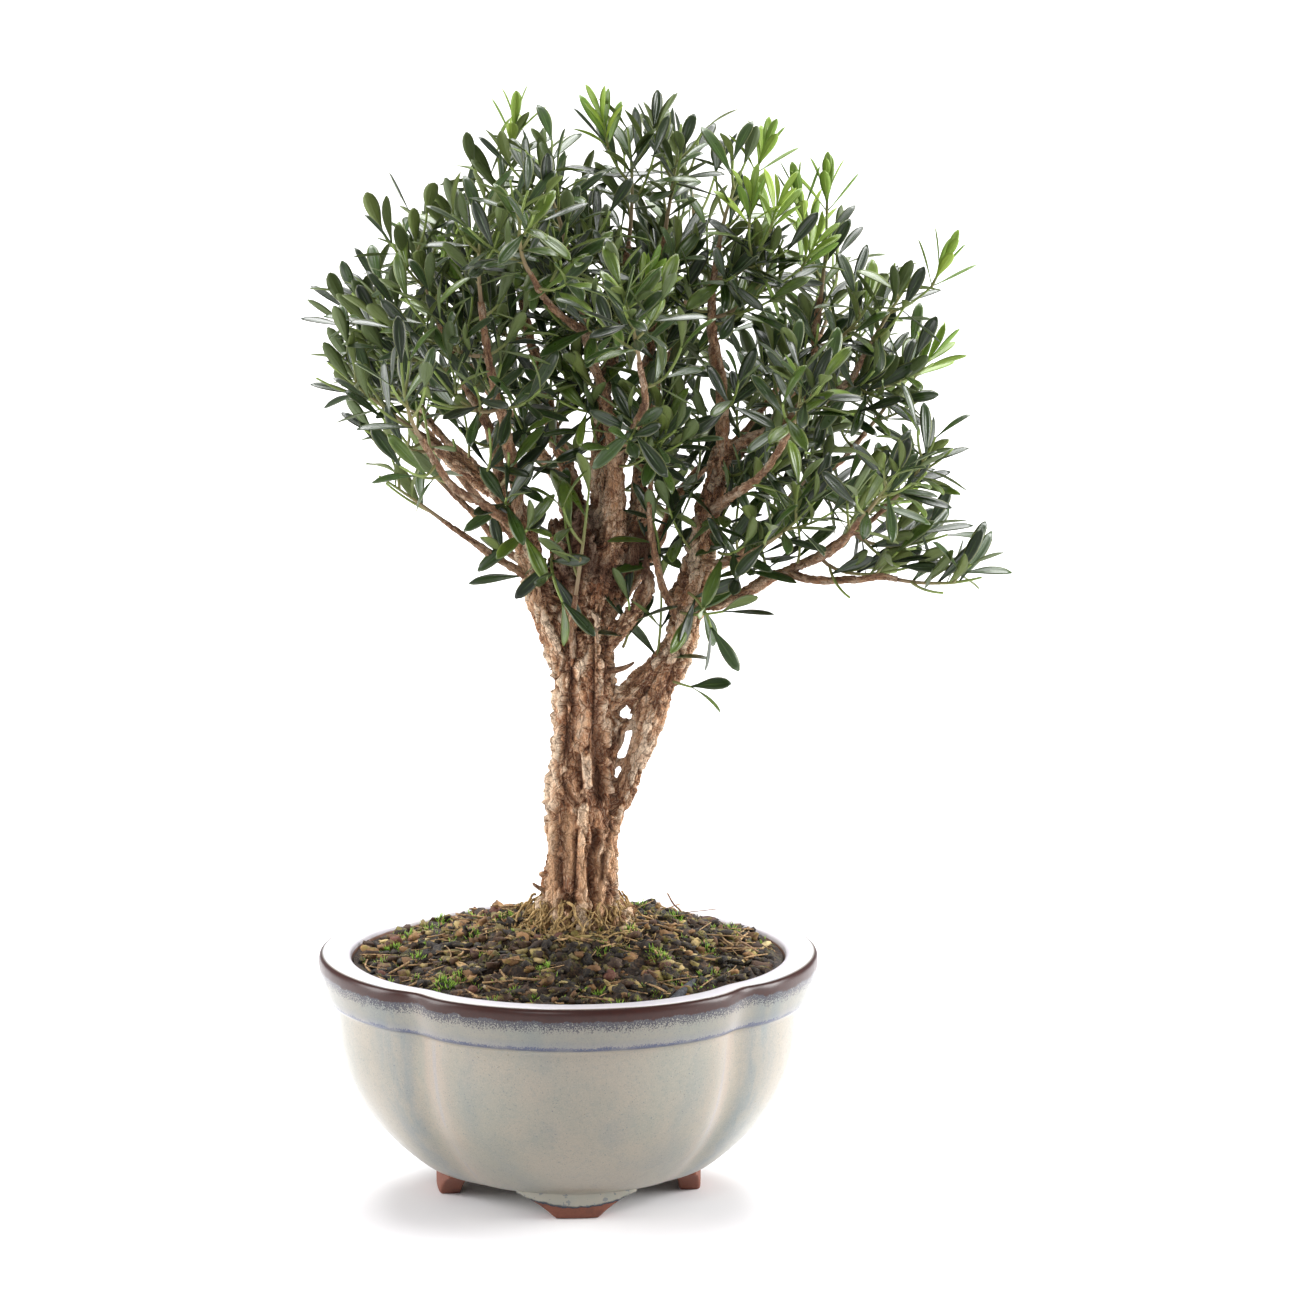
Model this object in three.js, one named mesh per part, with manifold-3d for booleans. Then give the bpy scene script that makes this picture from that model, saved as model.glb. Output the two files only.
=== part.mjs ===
// Chinese boxwood bonsai in a four-lobed glazed pot.
// Millimetres, +Z up. The pot's axis is first x = y = 0 and the feet stand on z = 0. At the end the
// whole tree is moved sideways so that the origin is under the middle of its outer box.
import * as THREE from 'three';
import { mergeVertices } from 'three/addons/utils/BufferGeometryUtils.js';
import Module from 'manifold-3d';

const wasm = await Module();
wasm.setup();

// Driving dimensions of the pot
const POT_RADIUS = 100;            // over the lobes, at the rim
const RIM_HEIGHT = 97.5;
const LIP_BOTTOM = 80;             // lower edge of the band round the rim
const RIM_OPENING = 87;            // radius of the mouth
const FLOOR_TOP = 17;
const FLOOR_UNDERSIDE = 10;
const POT_SEGMENTS = 48;           // twelve to a lobe, so that each fold falls on a vertex
const POT_TURN = 4;                // degrees that the front lobe is turned to the right
const LOBE_CENTRE = 0.13;          // offset of a lobe's arc centre, as a share of the radius
const FOLD_SOFTNESS = 4.5;         // degrees over which two lobes blend in the fold
const FOLD_DEPTH = 0.026;          // extra dent in the fold, as a share of the radius
const FOOT_OUTER_RADIUS = 53;
const FOOT_THICKNESS = 9;
const FOOT_TOP_WIDTH = 48;
const FOOT_BOTTOM_WIDTH = 17;
const FOOT_BOW = 0.006;             // curve of a foot's plate, per millimetre of width squared
const FOOT_SUNK = 3;               // how far a foot runs up into the pot's underside
const DRAIN_RADIUS = 9;

// Driving dimensions of what the pot holds
const GAP = 0.3;                   // between pieces that rest on each other
const SCREEN_WIDTH = 34;
const SCREEN_THICKNESS = 1.2;
const SCREEN_HOLES = 3;            // along each side
const SCREEN_BAR = 2.2;
const SOIL_EDGE = 94;              // height of the soil at the pot's wall
const SOIL_CROWN = 109;            // height of the soil at the trunk
const SOIL_GRAIN = 1.6;            // half height of the gravel's relief
const SOIL_EDGE_RADIUS = 85.6;
const SOIL_SEGMENTS = 32;
const STUMP_X = 5.7;
const STUMP_RADIUS = 22;
const STUMP_BOTTOM = 78;
const STUMP_SIDES = 16;
const TRUNK_RIBS = 0.1;             // height of the trunk's ribs, as a share of its radius
const LIMB_RIBS = 0.09;

// Driving dimensions of the leafy sprays
const SPRAY_LENGTH = 39.2;
const STEM_RADIUS = 1.3;
const STEM_TIP_RADIUS = 0.95;
const STEM_SIDES = 3;
const STEM_RINGS = 2;
const PAIRS = 6;                   // leaf pairs on a main stem
const SIDE_PAIRS = 3;              // leaf pairs on a side shoot
const SIDE_SHOOTS = 4;
const SHOOT_SAG = -0.15;           // least slope at which a side shoot leaves its stem
const SOLID_SIDE_SHOOTS = 1;       // side shoots that the solid spray keeps
const SOLID_LEAVES = 7;            // leaves that the solid spray keeps
const LEAF_LENGTH = 21.5;
const LEAF_WIDTH = 5.9;
const LEAF_RIDGE = 1;              // thickness at the middle of a blade
const LEAF_DROOP = 0.09;           // how far the tip bends down, as a share of the length
const LEAF_ROOT = 0.35;            // how far a leaf's root runs past its stem's axis
const LEAF_STEP = 0.03;            // step between a pair's two roots, as a share of the stem
const CLEARANCE = 0.45;            // kept between leaves of different sprays
const CROWN_MIDDLE = new THREE.Vector3(28.6, 0, 310);

const UP = new THREE.Vector3(0, 0, 1);
const degrees = THREE.MathUtils.degToRad;

// A seeded draw between 0 and 1 from three whole numbers
function draw(a, b, c) {
  const s = Math.sin(a * 127.1 + b * 311.7 + c * 74.7) * 43758.5453;
  return s - Math.floor(s);
}

function smooth(low, high, value) {
  const t = Math.min(Math.max((value - low) / (high - low), 0), 1);
  return t * t * (3 - 2 * t);
}

// Between solids for cutting and joining, and geometries for the scene
function toSolid(geometry) {
  const bare = geometry.clone();
  bare.deleteAttribute('normal');
  bare.deleteAttribute('uv');
  const merged = mergeVertices(bare, 1e-4);
  return new wasm.Manifold(new wasm.Mesh({
    numProp: 3,
    vertProperties: new Float32Array(merged.attributes.position.array),
    triVerts: new Uint32Array(merged.index.array),
  }));
}

function toGeometry(solid) {
  const mesh = solid.getMesh();
  const geometry = new THREE.BufferGeometry();
  geometry.setAttribute('position', new THREE.BufferAttribute(mesh.vertProperties, 3));
  geometry.setIndex(new THREE.BufferAttribute(mesh.triVerts, 1));
  geometry.computeVertexNormals();
  return geometry;
}

function moveVertices(geometry, rule) {
  const position = geometry.attributes.position;
  const point = new THREE.Vector3();
  for (let i = 0; i < position.count; i += 1) {
    point.fromBufferAttribute(position, i);
    const moved = rule(point);
    position.setXYZ(i, moved.x, moved.y, moved.z);
  }
  return geometry;
}

// The lobed outline, as a factor on the radius: four arcs that meet in soft folds on the diagonals
function lobe(angle, foldDepth) {
  const turned = angle - degrees(POT_TURN);
  const quarter = Math.PI / 2;
  const fromLobe = Math.abs(turned - quarter * Math.round(turned / quarter));
  const fromFold = Math.PI / 4 - fromLobe;
  const a = Math.PI / 4 - Math.hypot(fromFold, degrees(FOLD_SOFTNESS));
  const arc = LOBE_CENTRE * Math.cos(a)
    + Math.sqrt((1 - LOBE_CENTRE) ** 2 - (LOBE_CENTRE * Math.sin(a)) ** 2);
  return arc - foldDepth * Math.exp(-((fromFold / degrees(6)) ** 2));
}

// A lathe turned round the Z axis from a closed [radius, height, foldDepth] profile, and then lobed
function lobedLathe(profile, segments) {
  const points = profile.map(([radius, height]) => new THREE.Vector2(radius, height));
  const geometry = new THREE.LatheGeometry(points, segments, degrees(90 + POT_TURN));
  geometry.rotateX(Math.PI / 2);
  const depthAt = (radius, height) => {
    const row = profile.find(([r, z]) => Math.abs(r - radius) < 1e-3 && Math.abs(z - height) < 1e-3);
    return row[2] ?? 0;
  };
  return moveVertices(geometry, (p) => {
    const radius = Math.hypot(p.x, p.y);
    const factor = lobe(Math.atan2(p.y, p.x), depthAt(radius, p.z));
    return new THREE.Vector3(p.x * factor, p.y * factor, p.z);
  });
}

// Pot: thrown body, lip band, flat rim and four bracket feet, fired as one piece
const OUTER_WALL = [
  [0, FLOOR_UNDERSIDE, 0],
  [52, FLOOR_UNDERSIDE, 0.006],
  [66, 18.5, 0.014],
  [79.5, 33, 0.024],
  [89.5, 50, 0.03],
  [93.6, LIP_BOTTOM - 2.5, 0.03],
  [96.6, LIP_BOTTOM, 0.03],
  [POT_RADIUS, 93, FOLD_DEPTH],
  [99.2, RIM_HEIGHT, FOLD_DEPTH],
];
const INNER_WALL = [
  [RIM_OPENING, RIM_HEIGHT - 0.6, 0.012],
  [85.5, 80, 0.014],
  [79, 46, 0.014],
  [66, 27, 0.01],
  [50, FLOOR_TOP, 0.004],
  [0, FLOOR_TOP, 0],
];

function foot() {
  const shape = new THREE.Shape();
  const top = FLOOR_UNDERSIDE + FOOT_SUNK;
  const halfTop = FOOT_TOP_WIDTH / 2;
  const halfBottom = FOOT_BOTTOM_WIDTH / 2;
  shape.moveTo(-halfBottom, 0);
  shape.lineTo(halfBottom, 0);
  shape.quadraticCurveTo(halfBottom + 7, FLOOR_UNDERSIDE * 0.7, halfTop, FLOOR_UNDERSIDE);
  shape.lineTo(halfTop - 3, top);
  shape.lineTo(-halfTop + 3, top);
  shape.lineTo(-halfTop, FLOOR_UNDERSIDE);
  shape.quadraticCurveTo(-halfBottom - 7, FLOOR_UNDERSIDE * 0.7, -halfBottom, 0);
  const plate = new THREE.ExtrudeGeometry(shape, {
    depth: FOOT_THICKNESS,
    steps: 1,
    bevelEnabled: false,
    curveSegments: 4,
  });
  plate.rotateX(Math.PI / 2);
  plate.translate(0, FOOT_THICKNESS - FOOT_OUTER_RADIUS, 0);
  return moveVertices(plate, (p) => {
    const bowed = p.y + FOOT_BOW * p.x * p.x;
    return new THREE.Vector3(p.x, bowed, p.z);
  });
}

function potSolid() {
  let pot = toSolid(lobedLathe([...OUTER_WALL, ...INNER_WALL], POT_SEGMENTS));
  for (let side = 0; side < 4; side += 1) {
    const bracket = foot();
    bracket.rotateZ(degrees(90 * side + POT_TURN));
    pot = pot.add(toSolid(bracket));
  }
  const drain = new THREE.CylinderGeometry(DRAIN_RADIUS, DRAIN_RADIUS, FLOOR_TOP, 20);
  drain.rotateX(Math.PI / 2);
  drain.translate(0, 0, FLOOR_TOP / 2 + FLOOR_UNDERSIDE / 2);
  return pot.subtract(toSolid(drain));
}

// Drain screen: a square of plastic mesh that keeps the soil out of the drain hole
function drainScreen() {
  const plate = new THREE.BoxGeometry(SCREEN_WIDTH, SCREEN_WIDTH, SCREEN_THICKNESS);
  const pitch = (SCREEN_WIDTH - SCREEN_BAR) / SCREEN_HOLES;
  const hole = pitch - SCREEN_BAR;
  let screen = toSolid(plate);
  for (let row = 0; row < SCREEN_HOLES; row += 1) {
    for (let column = 0; column < SCREEN_HOLES; column += 1) {
      const opening = new THREE.BoxGeometry(hole, hole, 2 * SCREEN_THICKNESS);
      const middle = (SCREEN_HOLES - 1) / 2;
      opening.translate((column - middle) * pitch, (row - middle) * pitch, 0);
      screen = screen.subtract(toSolid(opening));
    }
  }
  return screen.translate([0, 0, FLOOR_TOP + GAP + SCREEN_THICKNESS / 2]);
}

// Soil: fills the pot, rises to the trunk, and has a gravelly surface raised by a formula
function soilHeight(x, y) {
  const fromTrunk = Math.hypot(x - STUMP_X, y);
  const mound = SOIL_EDGE + (SOIL_CROWN - SOIL_EDGE) * (1 - smooth(STUMP_RADIUS, RIM_OPENING, fromTrunk));
  const grain = Math.sin(x * 0.31 + 1.3) * Math.cos(y * 0.27)
    + 0.7 * Math.sin(x * 0.13 - y * 0.71) * Math.cos(x * 0.53 + y * 0.19);
  const settle = smooth(STUMP_RADIUS + 1, STUMP_RADIUS + 9, fromTrunk);
  return mound + SOIL_GRAIN * grain * settle * (1 - smooth(78, 86, Math.hypot(x, y)));
}

function soilSolid() {
  const wall = INNER_WALL.filter(([radius, height]) => height < SOIL_EDGE && radius > 0);
  const sides = wall.reverse().map(([radius, height, fold]) => [radius - 2 * GAP, height + 0.5, fold]);
  const edge = [SOIL_EDGE_RADIUS, SOIL_EDGE, 0.014];
  const rings = [78, 66, 54, 42, 31].map((radius) => [radius, SOIL_EDGE, 0]);
  const profile = [[0, sides[0][1], 0], ...sides, edge, ...rings, [0, SOIL_EDGE, 0]];
  const lathe = moveVertices(lobedLathe(profile, SOIL_SEGMENTS), (p) => {
    const height = p.z > SOIL_EDGE - 1e-3 ? soilHeight(p.x, p.y) : p.z;
    return new THREE.Vector3(p.x, p.y, height);
  });
  const holeRadius = STUMP_RADIUS + GAP + 0.2;
  const holeDepth = 2 * (SOIL_CROWN - STUMP_BOTTOM);
  const hole = new THREE.CylinderGeometry(holeRadius, holeRadius, holeDepth, STUMP_SIDES * 2);
  hole.rotateX(Math.PI / 2);
  hole.translate(STUMP_X, 0, STUMP_BOTTOM - GAP + holeDepth / 2);
  const recessWidth = SCREEN_WIDTH + 2 * GAP;
  const recess = new THREE.BoxGeometry(recessWidth, recessWidth, 2 * (SCREEN_THICKNESS + GAP));
  recess.translate(0, 0, FLOOR_TOP + GAP);
  return toSolid(lathe).subtract(toSolid(hole)).subtract(toSolid(recess));
}

// A limb is a list of [x, y, z, radius] points, joined by a smooth curve
function limbCurve(points) {
  const knots = points.map(([x, y, z]) => new THREE.Vector3(x, y, z));
  return new THREE.CatmullRomCurve3(knots, false, 'catmullrom', 0.5);
}

function limbRadius(points, t) {
  const place = Math.min(Math.max(t, 0), 1) * (points.length - 1);
  const i = Math.min(Math.floor(place), points.length - 2);
  return THREE.MathUtils.lerp(points[i][3], points[i + 1][3], place - i);
}

// Bends a cylinder of unit radius along a curve. Each ring is turned as little as possible.
function bentCylinder(curve, radiusAt, sides, rings) {
  const frames = [];
  let normal = new THREE.Vector3(0.1, -1, 0.2);
  for (let i = 0; i <= rings; i += 1) {
    const centre = curve.getPoint(i / rings);
    const along = curve.getTangent(i / rings);
    normal = normal.clone().addScaledVector(along, -normal.dot(along)).normalize();
    frames.push({ centre, along, normal, side: along.clone().cross(normal) });
  }
  const geometry = new THREE.CylinderGeometry(1, 1, 1, sides, rings);
  return moveVertices(geometry, (p) => {
    const ring = Math.round((p.y + 0.5) * rings);
    const frame = frames[ring];
    const radius = radiusAt(ring / rings, Math.atan2(p.x, p.z), frame.centre);
    return frame.centre.clone()
      .addScaledVector(frame.normal, p.z * radius)
      .addScaledVector(frame.side, p.x * radius);
  });
}

// Trunk: plain stump in the soil, root flare, waist, and the crown of the trunk where it forks
const TRUNK = [
  [STUMP_X, 0, STUMP_BOTTOM, STUMP_RADIUS],
  [STUMP_X, 0, 106, STUMP_RADIUS],
  [5.2, 0, 111, 18.6],
  [4.6, 0, 120, 15.8],
  [5.2, 0, 132, 14.9],
  [5.6, 1, 147.6, 14.5],
  [4.6, 1, 168.2, 12.3],
  [5.4, 1, 184.8, 11.6],
  [6.1, 1, 200.5, 11.6],
  [6.1, 1, 216.1, 12.3],
  [7.1, 1, 229.8, 9.3],
];

// Limbs by name. sprays holds the fractions along the limb where leafy sprays leave it.
const LIMBS = {
  left: {
    sides: 7,
    points: [[0.2, 0, 214.2, 7.8], [-9.1, -3.9, 237.7, 6.2], [-13.9, -7.8, 257.3, 5.3],
      [-19.1, -11.7, 275.9, 4.8], [-27.8, -13.7, 287.6, 4.2], [-38.9, -17.6, 297.4, 3.6],
      [-46, -19.6, 303, 3.2], [-53.5, -19.6, 309, 2.5], [-61, -18.6, 314.5, 1.4]],
    sprays: [1, 0.86, 0.7],
  },
  leftUpright: {
    sides: 5,
    points: [[-19.1, -12.7, 276.8, 2.9], [-21.3, -23.5, 298.4, 2.5], [-25.2, -31.3, 319.9, 2.2],
      [-29.1, -35.2, 335.6, 1.9], [-32.1, -39.2, 354.2, 1.6], [-34, -41.1, 370.8, 1.3]],
    sprays: [1, 0.74, 0.48],
  },
  leftHigh: {
    sides: 5,
    points: [[-26.2, -12.7, 285.7, 2.7], [-29.1, -7.8, 307.2, 2.3], [-38, -5.9, 324.8, 2.1],
      [-43.3, -3.9, 337.5, 1.8], [-47.5, -2, 345.5, 1.5], [-51, 0, 353.5, 1.2]],
    sprays: [1, 0.8, 0.58],
  },
  leader: {
    sides: 7,
    points: [[8.1, 1, 218.1, 7.8], [12.5, 2, 240.6, 6.3], [13, 2.9, 265.1, 5.5],
      [13.9, 3.9, 289.6, 4.8], [13, 3.9, 305.2, 4.1], [13.5, 3.9, 321.9, 3.4], [16.9, 3.9, 335.6, 2.9],
      [21.8, 4.9, 362, 2.1], [23, 5.6, 375, 1.6], [24.4, 6.4, 386.5, 1.3]],
    sprays: [1, 0.86, 0.72],
  },
  middleLeft: {
    sides: 6,
    points: [[10, 3.9, 255.3, 4.1], [1.6, 7.8, 288.6, 3.5], [-4.7, 11.7, 303.3, 3.2],
      [-8.6, 14.7, 318.9, 2.7], [-13.9, 17.6, 339.5, 2.3], [-18.4, 19.6, 361, 1.9],
      [-22, 21.2, 373, 1.5], [-23.6, 22.8, 384, 1.2]],
    sprays: [1, 0.8, 0.6],
  },
  middleFront: {
    sides: 6,
    points: [[13, -1, 255.3, 3.9], [19.5, -9.8, 283.7, 3.3], [18.3, -13.7, 305.2, 2.8],
      [15.2, -15.7, 325.8, 2.3], [8.8, -17.6, 346.4, 2], [4.1, -19.6, 366.9, 1.7],
      [1, -20.4, 379, 1.4], [-0.4, -21.2, 388, 1.2]],
    sprays: [1, 0.82, 0.62],
  },
  middleRight: {
    sides: 6,
    points: [[13.9, 3.9, 249.4, 4.3], [26.7, 5.9, 272.9, 3.9], [29.1, 7.8, 292.5, 3.2],
      [30.6, 8.8, 313.1, 2.7], [31.9, 9.8, 332.6, 2.3], [34.7, 10.8, 357.1, 2], [36, 11.4, 373, 1.5],
      [38.4, 12.2, 387, 1.2]],
    sprays: [1, 0.82, 0.64],
  },
  deadStub: {
    sides: 6,
    points: [[12, -2.9, 222, 4.5], [21.8, -5.9, 232.8, 3.6], [28.6, -8.8, 242.6, 3.1],
      [31.6, -9.8, 253.4, 2.2], [30.6, -9.8, 259.2, 0.9]],
    sprays: [],
  },
  rightLowerRoot: {
    sides: 7,
    points: [[7.1, -2, 135.9, 5.9], [21.6, -2, 160.3, 4.9], [27.2, -2, 177, 4.6],
      [32.5, -2, 190.7, 5.2], [38.4, -1, 207.3, 5.7], [43.8, 0, 221, 6.1], [47.8, 1, 236.7, 6.7],
      [51.4, 2, 253.4, 6], [54.1, 2.9, 269, 5.5], [58, 2.9, 285.7, 4.8], [61.3, 2.9, 299.4, 4.3],
      [62.9, 2.9, 306.2, 2.9]],
    sprays: [],
  },
  rightUpperRoot: {
    sides: 7,
    points: [[8.1, 0, 193.6, 4.1], [16.9, 0, 198.5, 4.1], [28.6, 0, 207.3, 4.8],
      [41.3, 0, 220.1, 5.3]],
    sprays: [],
  },
  rightUpright: {
    sides: 5,
    points: [[61.9, 2, 300.3, 3.1], [61.3, 0, 322.9, 2.6], [58.6, -2.9, 343.4, 2.3],
      [56.8, -4.9, 361, 1.9], [58, -5.6, 374, 1.5], [60, -5.9, 386.5, 1.2]],
    sprays: [1, 0.78, 0.55],
  },
  rightOuter: {
    sides: 5,
    points: [[61.9, 2.9, 300.3, 2.9], [72.7, 5.9, 306.2, 2.4], [82.5, 8.8, 309.2, 2.2],
      [90.3, 10.8, 314, 2], [97.1, 11.7, 328.7, 1.8], [98.4, 12.3, 345.5, 1.6],
      [100.6, 13.2, 361.5, 1.3]],
    sprays: [1, 0.8, 0.58],
  },
  rightFar: {
    sides: 4,
    points: [[89.3, 10.3, 313.6, 2.2], [103, 3.9, 322.9, 1.7], [112.5, 0.6, 331, 1.4],
      [118, -1.2, 341.5, 1.2]],
    sprays: [1, 0.62],
  },
  rightLow: {
    sides: 6,
    points: [[48.2, 1, 238.7, 4.5], [57.3, -2.9, 240.2, 3.6], [68.5, -5.9, 244.5, 2.8],
      [79.5, -7.8, 251.4, 2.3], [90.8, -9.8, 256.3, 2.1], [100.1, -11.7, 262.2, 1.9],
      [107.5, -12.7, 268, 1.7], [118.7, -14.7, 275.4, 1.5], [127.5, -15.7, 283.7, 1.2]],
    sprays: [1, 0.82, 0.62],
  },
  rightLowest: {
    sides: 4,
    points: [[86.4, -8.8, 254.3, 2.1], [97.5, -15.7, 252.9, 1.8], [113.5, -21.5, 254.3, 1.6],
      [124.6, -24.5, 256.3, 1.5], [131, -25.6, 255.2, 1.3]],
    sprays: [1],
  },
  rightBack: {
    sides: 5,
    points: [[50.6, 2.9, 250.4, 2.7], [68.5, 11.7, 257.8, 2.1], [79.5, 17.6, 268, 1.9],
      [93.2, 21.5, 282.7, 1.6], [108.9, 25.5, 292.5, 1.4], [118.7, 29.4, 303.3, 1.2]],
    sprays: [1, 0.66],
  },
  behindRight: {
    sides: 5,
    points: [[14.9, 3.9, 231.8, 3.1], [35.5, 15.7, 260.7, 2.4], [44.3, 21.5, 279.8, 2.2],
      [55.7, 27.4, 290.9, 1.9], [68.5, 33.3, 300.3, 1.6], [80.5, 39.2, 315, 1.4],
      [91.3, 43.1, 332.6, 1.2]],
    sprays: [1, 0.76],
  },
  leftLow: {
    sides: 4,
    points: [[-11.5, -5.9, 249.4, 2], [-26.2, -13.7, 259.8, 1.7], [-36, -19.6, 268, 1.5],
      [-44.4, -23.5, 274.9, 1.3], [-49.5, -24.6, 279, 1.1]],
    sprays: [1],
  },
  leftShort: {
    sides: 4,
    points: [[-12.5, -5.9, 254.3, 1.8], [-26.2, -2.9, 263.1, 1.5], [-33.4, 0, 272, 1.4],
      [-41.4, 3.9, 279.2, 1.3], [-47.4, 5.9, 284.7, 1.1]],
    sprays: [1],
  },
  trunkShoot: {
    sides: 4,
    points: [[2.2, -7.8, 220.1, 1.6], [1.2, -15.7, 233.8, 1.3], [3.2, -18.6, 247.5, 1.1]],
    sprays: [1],
  },
  forkShoot: {
    sides: 4,
    points: [[44.3, -2, 231.8, 2], [36.5, -11.7, 252.9, 1.6], [32.5, -17.6, 277.8, 1.4],
      [33.1, -19.6, 292.5, 1.1]],
    sprays: [1],
  },
  rightShoot: {
    sides: 4,
    points: [[52.1, 0, 256.3, 1.9], [66.5, -17.6, 260.9, 1.4], [74.6, -25.5, 267.1, 1.1]],
    sprays: [1],
  },
  backLeft: {
    sides: 6,
    points: [[13, 3.9, 255.3, 3.9], [3.2, 21.5, 274.9, 3.1], [-10.5, 39.2, 292.5, 2.5],
      [-28.2, 56.8, 310.1, 2], [-42, 67.5, 326, 1.6], [-48, 75, 341, 1.2]],
    sprays: [1, 0.7],
  },
  backRight: {
    sides: 5,
    points: [[13.9, 4.9, 274.9, 3.3], [20.8, 25.5, 292.5, 2.6], [32.5, 45, 310.1, 2.2],
      [42.3, 60.7, 331.7, 1.8], [48, 71, 352, 1.5], [50, 76.5, 373, 1.2]],
    sprays: [1, 0.66],
  },
  backOuter: {
    sides: 5,
    points: [[56, 3.9, 278.8, 3.1], [63.9, 23.5, 290.6, 2.4], [77.6, 45, 300.3, 2],
      [91.3, 62.7, 314, 1.6], [101.1, 74.4, 333.6, 1.2]],
    sprays: [1],
  },
  backLow: {
    sides: 5,
    points: [[5.1, 3.9, 224, 3.9], [-6.6, 25.5, 243.6, 2.6], [-24.2, 45, 259.2, 2.1],
      [-41.9, 60.7, 276.8, 1.6], [-57.5, 70.5, 296.4, 1.2]],
    sprays: [1],
  },
  leftBack: {
    sides: 5,
    points: [[-24.2, -11.7, 282.7, 2.7], [-37, 7.8, 293.5, 2.2], [-50, 25, 302, 1.8],
      [-59, 34, 313, 1.5], [-65, 40, 326, 1.2]],
    sprays: [1, 0.66],
  },
  leftFront: {
    sides: 5,
    points: [[-17.4, -10.8, 271, 2.6], [-30.1, -35.2, 285.7, 2], [-45.8, -54.8, 300.3, 1.6],
      [-57.5, -70.5, 321.9, 1.2]],
    sprays: [1],
  },
  middleOut: {
    sides: 4,
    points: [[18.3, -12.7, 303.3, 2.3], [25.7, -37.2, 318, 1.9], [30.6, -56.8, 333.6, 1.6],
      [28.6, -72.4, 353.2, 1.2]],
    sprays: [1],
  },
  rightFront: {
    sides: 5,
    points: [[56, 2, 276.8, 2.7], [65.8, -21.5, 288.6, 2.1], [77.6, -43.1, 302.3, 1.7],
      [87.4, -60.7, 321.9, 1.2]],
    sprays: [1],
  },
  lowFront: {
    sides: 4,
    points: [[94.2, -9.8, 258.2, 2], [106, -33.3, 269, 1.5], [115.8, -50.9, 284.7, 1.2]],
    sprays: [1],
  },
  highFront: {
    sides: 4,
    points: [[7.1, -18.1, 353.2, 1.9], [-6.6, -39.2, 368.9, 1.4], [-14.5, -52.9, 384.5, 1.2]],
    sprays: [1],
  },
};

function woodSolid() {
  const trunkRidges = (t, angle, centre) => {
    const ridged = smooth(112, 126, centre.z);
    const ribs = Math.cos(4 * angle + 0.02 * centre.z) + 0.6 * Math.cos(7 * angle - 0.04 * centre.z);
    return limbRadius(TRUNK, t) * (1 + TRUNK_RIBS * ridged * ribs);
  };
  const trunk = bentCylinder(limbCurve(TRUNK), trunkRidges, STUMP_SIDES, TRUNK.length - 1);
  let wood = toSolid(trunk);
  for (const { points, sides } of Object.values(LIMBS)) {
    const ridges = (t, angle, centre) => {
      const rib = sides > 5 ? LIMB_RIBS * Math.cos(3 * angle + 0.05 * centre.z) : 0;
      return limbRadius(points, t) * (1 + rib);
    };
    wood = wood.add(toSolid(bentCylinder(limbCurve(points), ridges, sides, points.length - 1)));
  }
  return wood;
}

// A direction square to a stem's chord, from which its leaf pairs are turned
function squareTo(chord) {
  const side = chord.clone().cross(UP);
  return side.length() > 0.25 * chord.length() ? side.normalize() : new THREE.Vector3(0, 1, 0);
}

// The main stem of spray number k: from the limb's surface outwards and up. sunk is how far its foot
// lies inside the limb's round outline, to meet a flat side of the faceted limb.
function mainStem(limb, fraction, k, turn, sunk) {
  const curve = limbCurve(limb.points);
  const centre = curve.getPoint(fraction);
  const along = curve.getTangent(fraction);
  const length = SPRAY_LENGTH * (0.86 + 0.3 * draw(k, 1, 0));
  if (fraction === 1) {
    const lean = new THREE.Vector3(draw(k, 2, 0) - 0.5, draw(k, 3, 0) - 0.5, 0.35);
    lean.applyAxisAngle(along, degrees(turn));
    const start = centre.clone().addScaledVector(along, GAP + 0.1);
    const middle = start.clone().addScaledVector(along, 0.5 * length);
    const heading = along.clone().addScaledVector(lean, 0.7).normalize();
    return new THREE.QuadraticBezierCurve3(start, middle, start.clone().addScaledVector(heading, length));
  }
  const outward = centre.clone().sub(CROWN_MIDDLE);
  outward.addScaledVector(along, -outward.dot(along)).normalize();
  outward.applyAxisAngle(along, degrees(turn + 80 * (draw(k, 4, 0) - 0.5)));
  const reach = limbRadius(limb.points, fraction) + 2 * GAP - sunk;
  const start = centre.clone().addScaledVector(outward, reach);
  const middle = start.clone().addScaledVector(outward, 0.38 * length).addScaledVector(along, 0.05 * length);
  const heading = outward.clone().multiplyScalar(0.75).addScaledVector(along, 0.45).addScaledVector(UP, 0.35);
  const end = start.clone().addScaledVector(heading.normalize(), length);
  return new THREE.QuadraticBezierCurve3(start, middle, end);
}

// A point on the solid stem, which is straight from one of its rings to the next
function onSolidStem(stem, rings, t) {
  const ring = Math.min(Math.floor(t * rings), rings - 1);
  return stem.getPoint(ring / rings).lerp(stem.getPoint((ring + 1) / rings), t * rings - ring);
}

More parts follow.
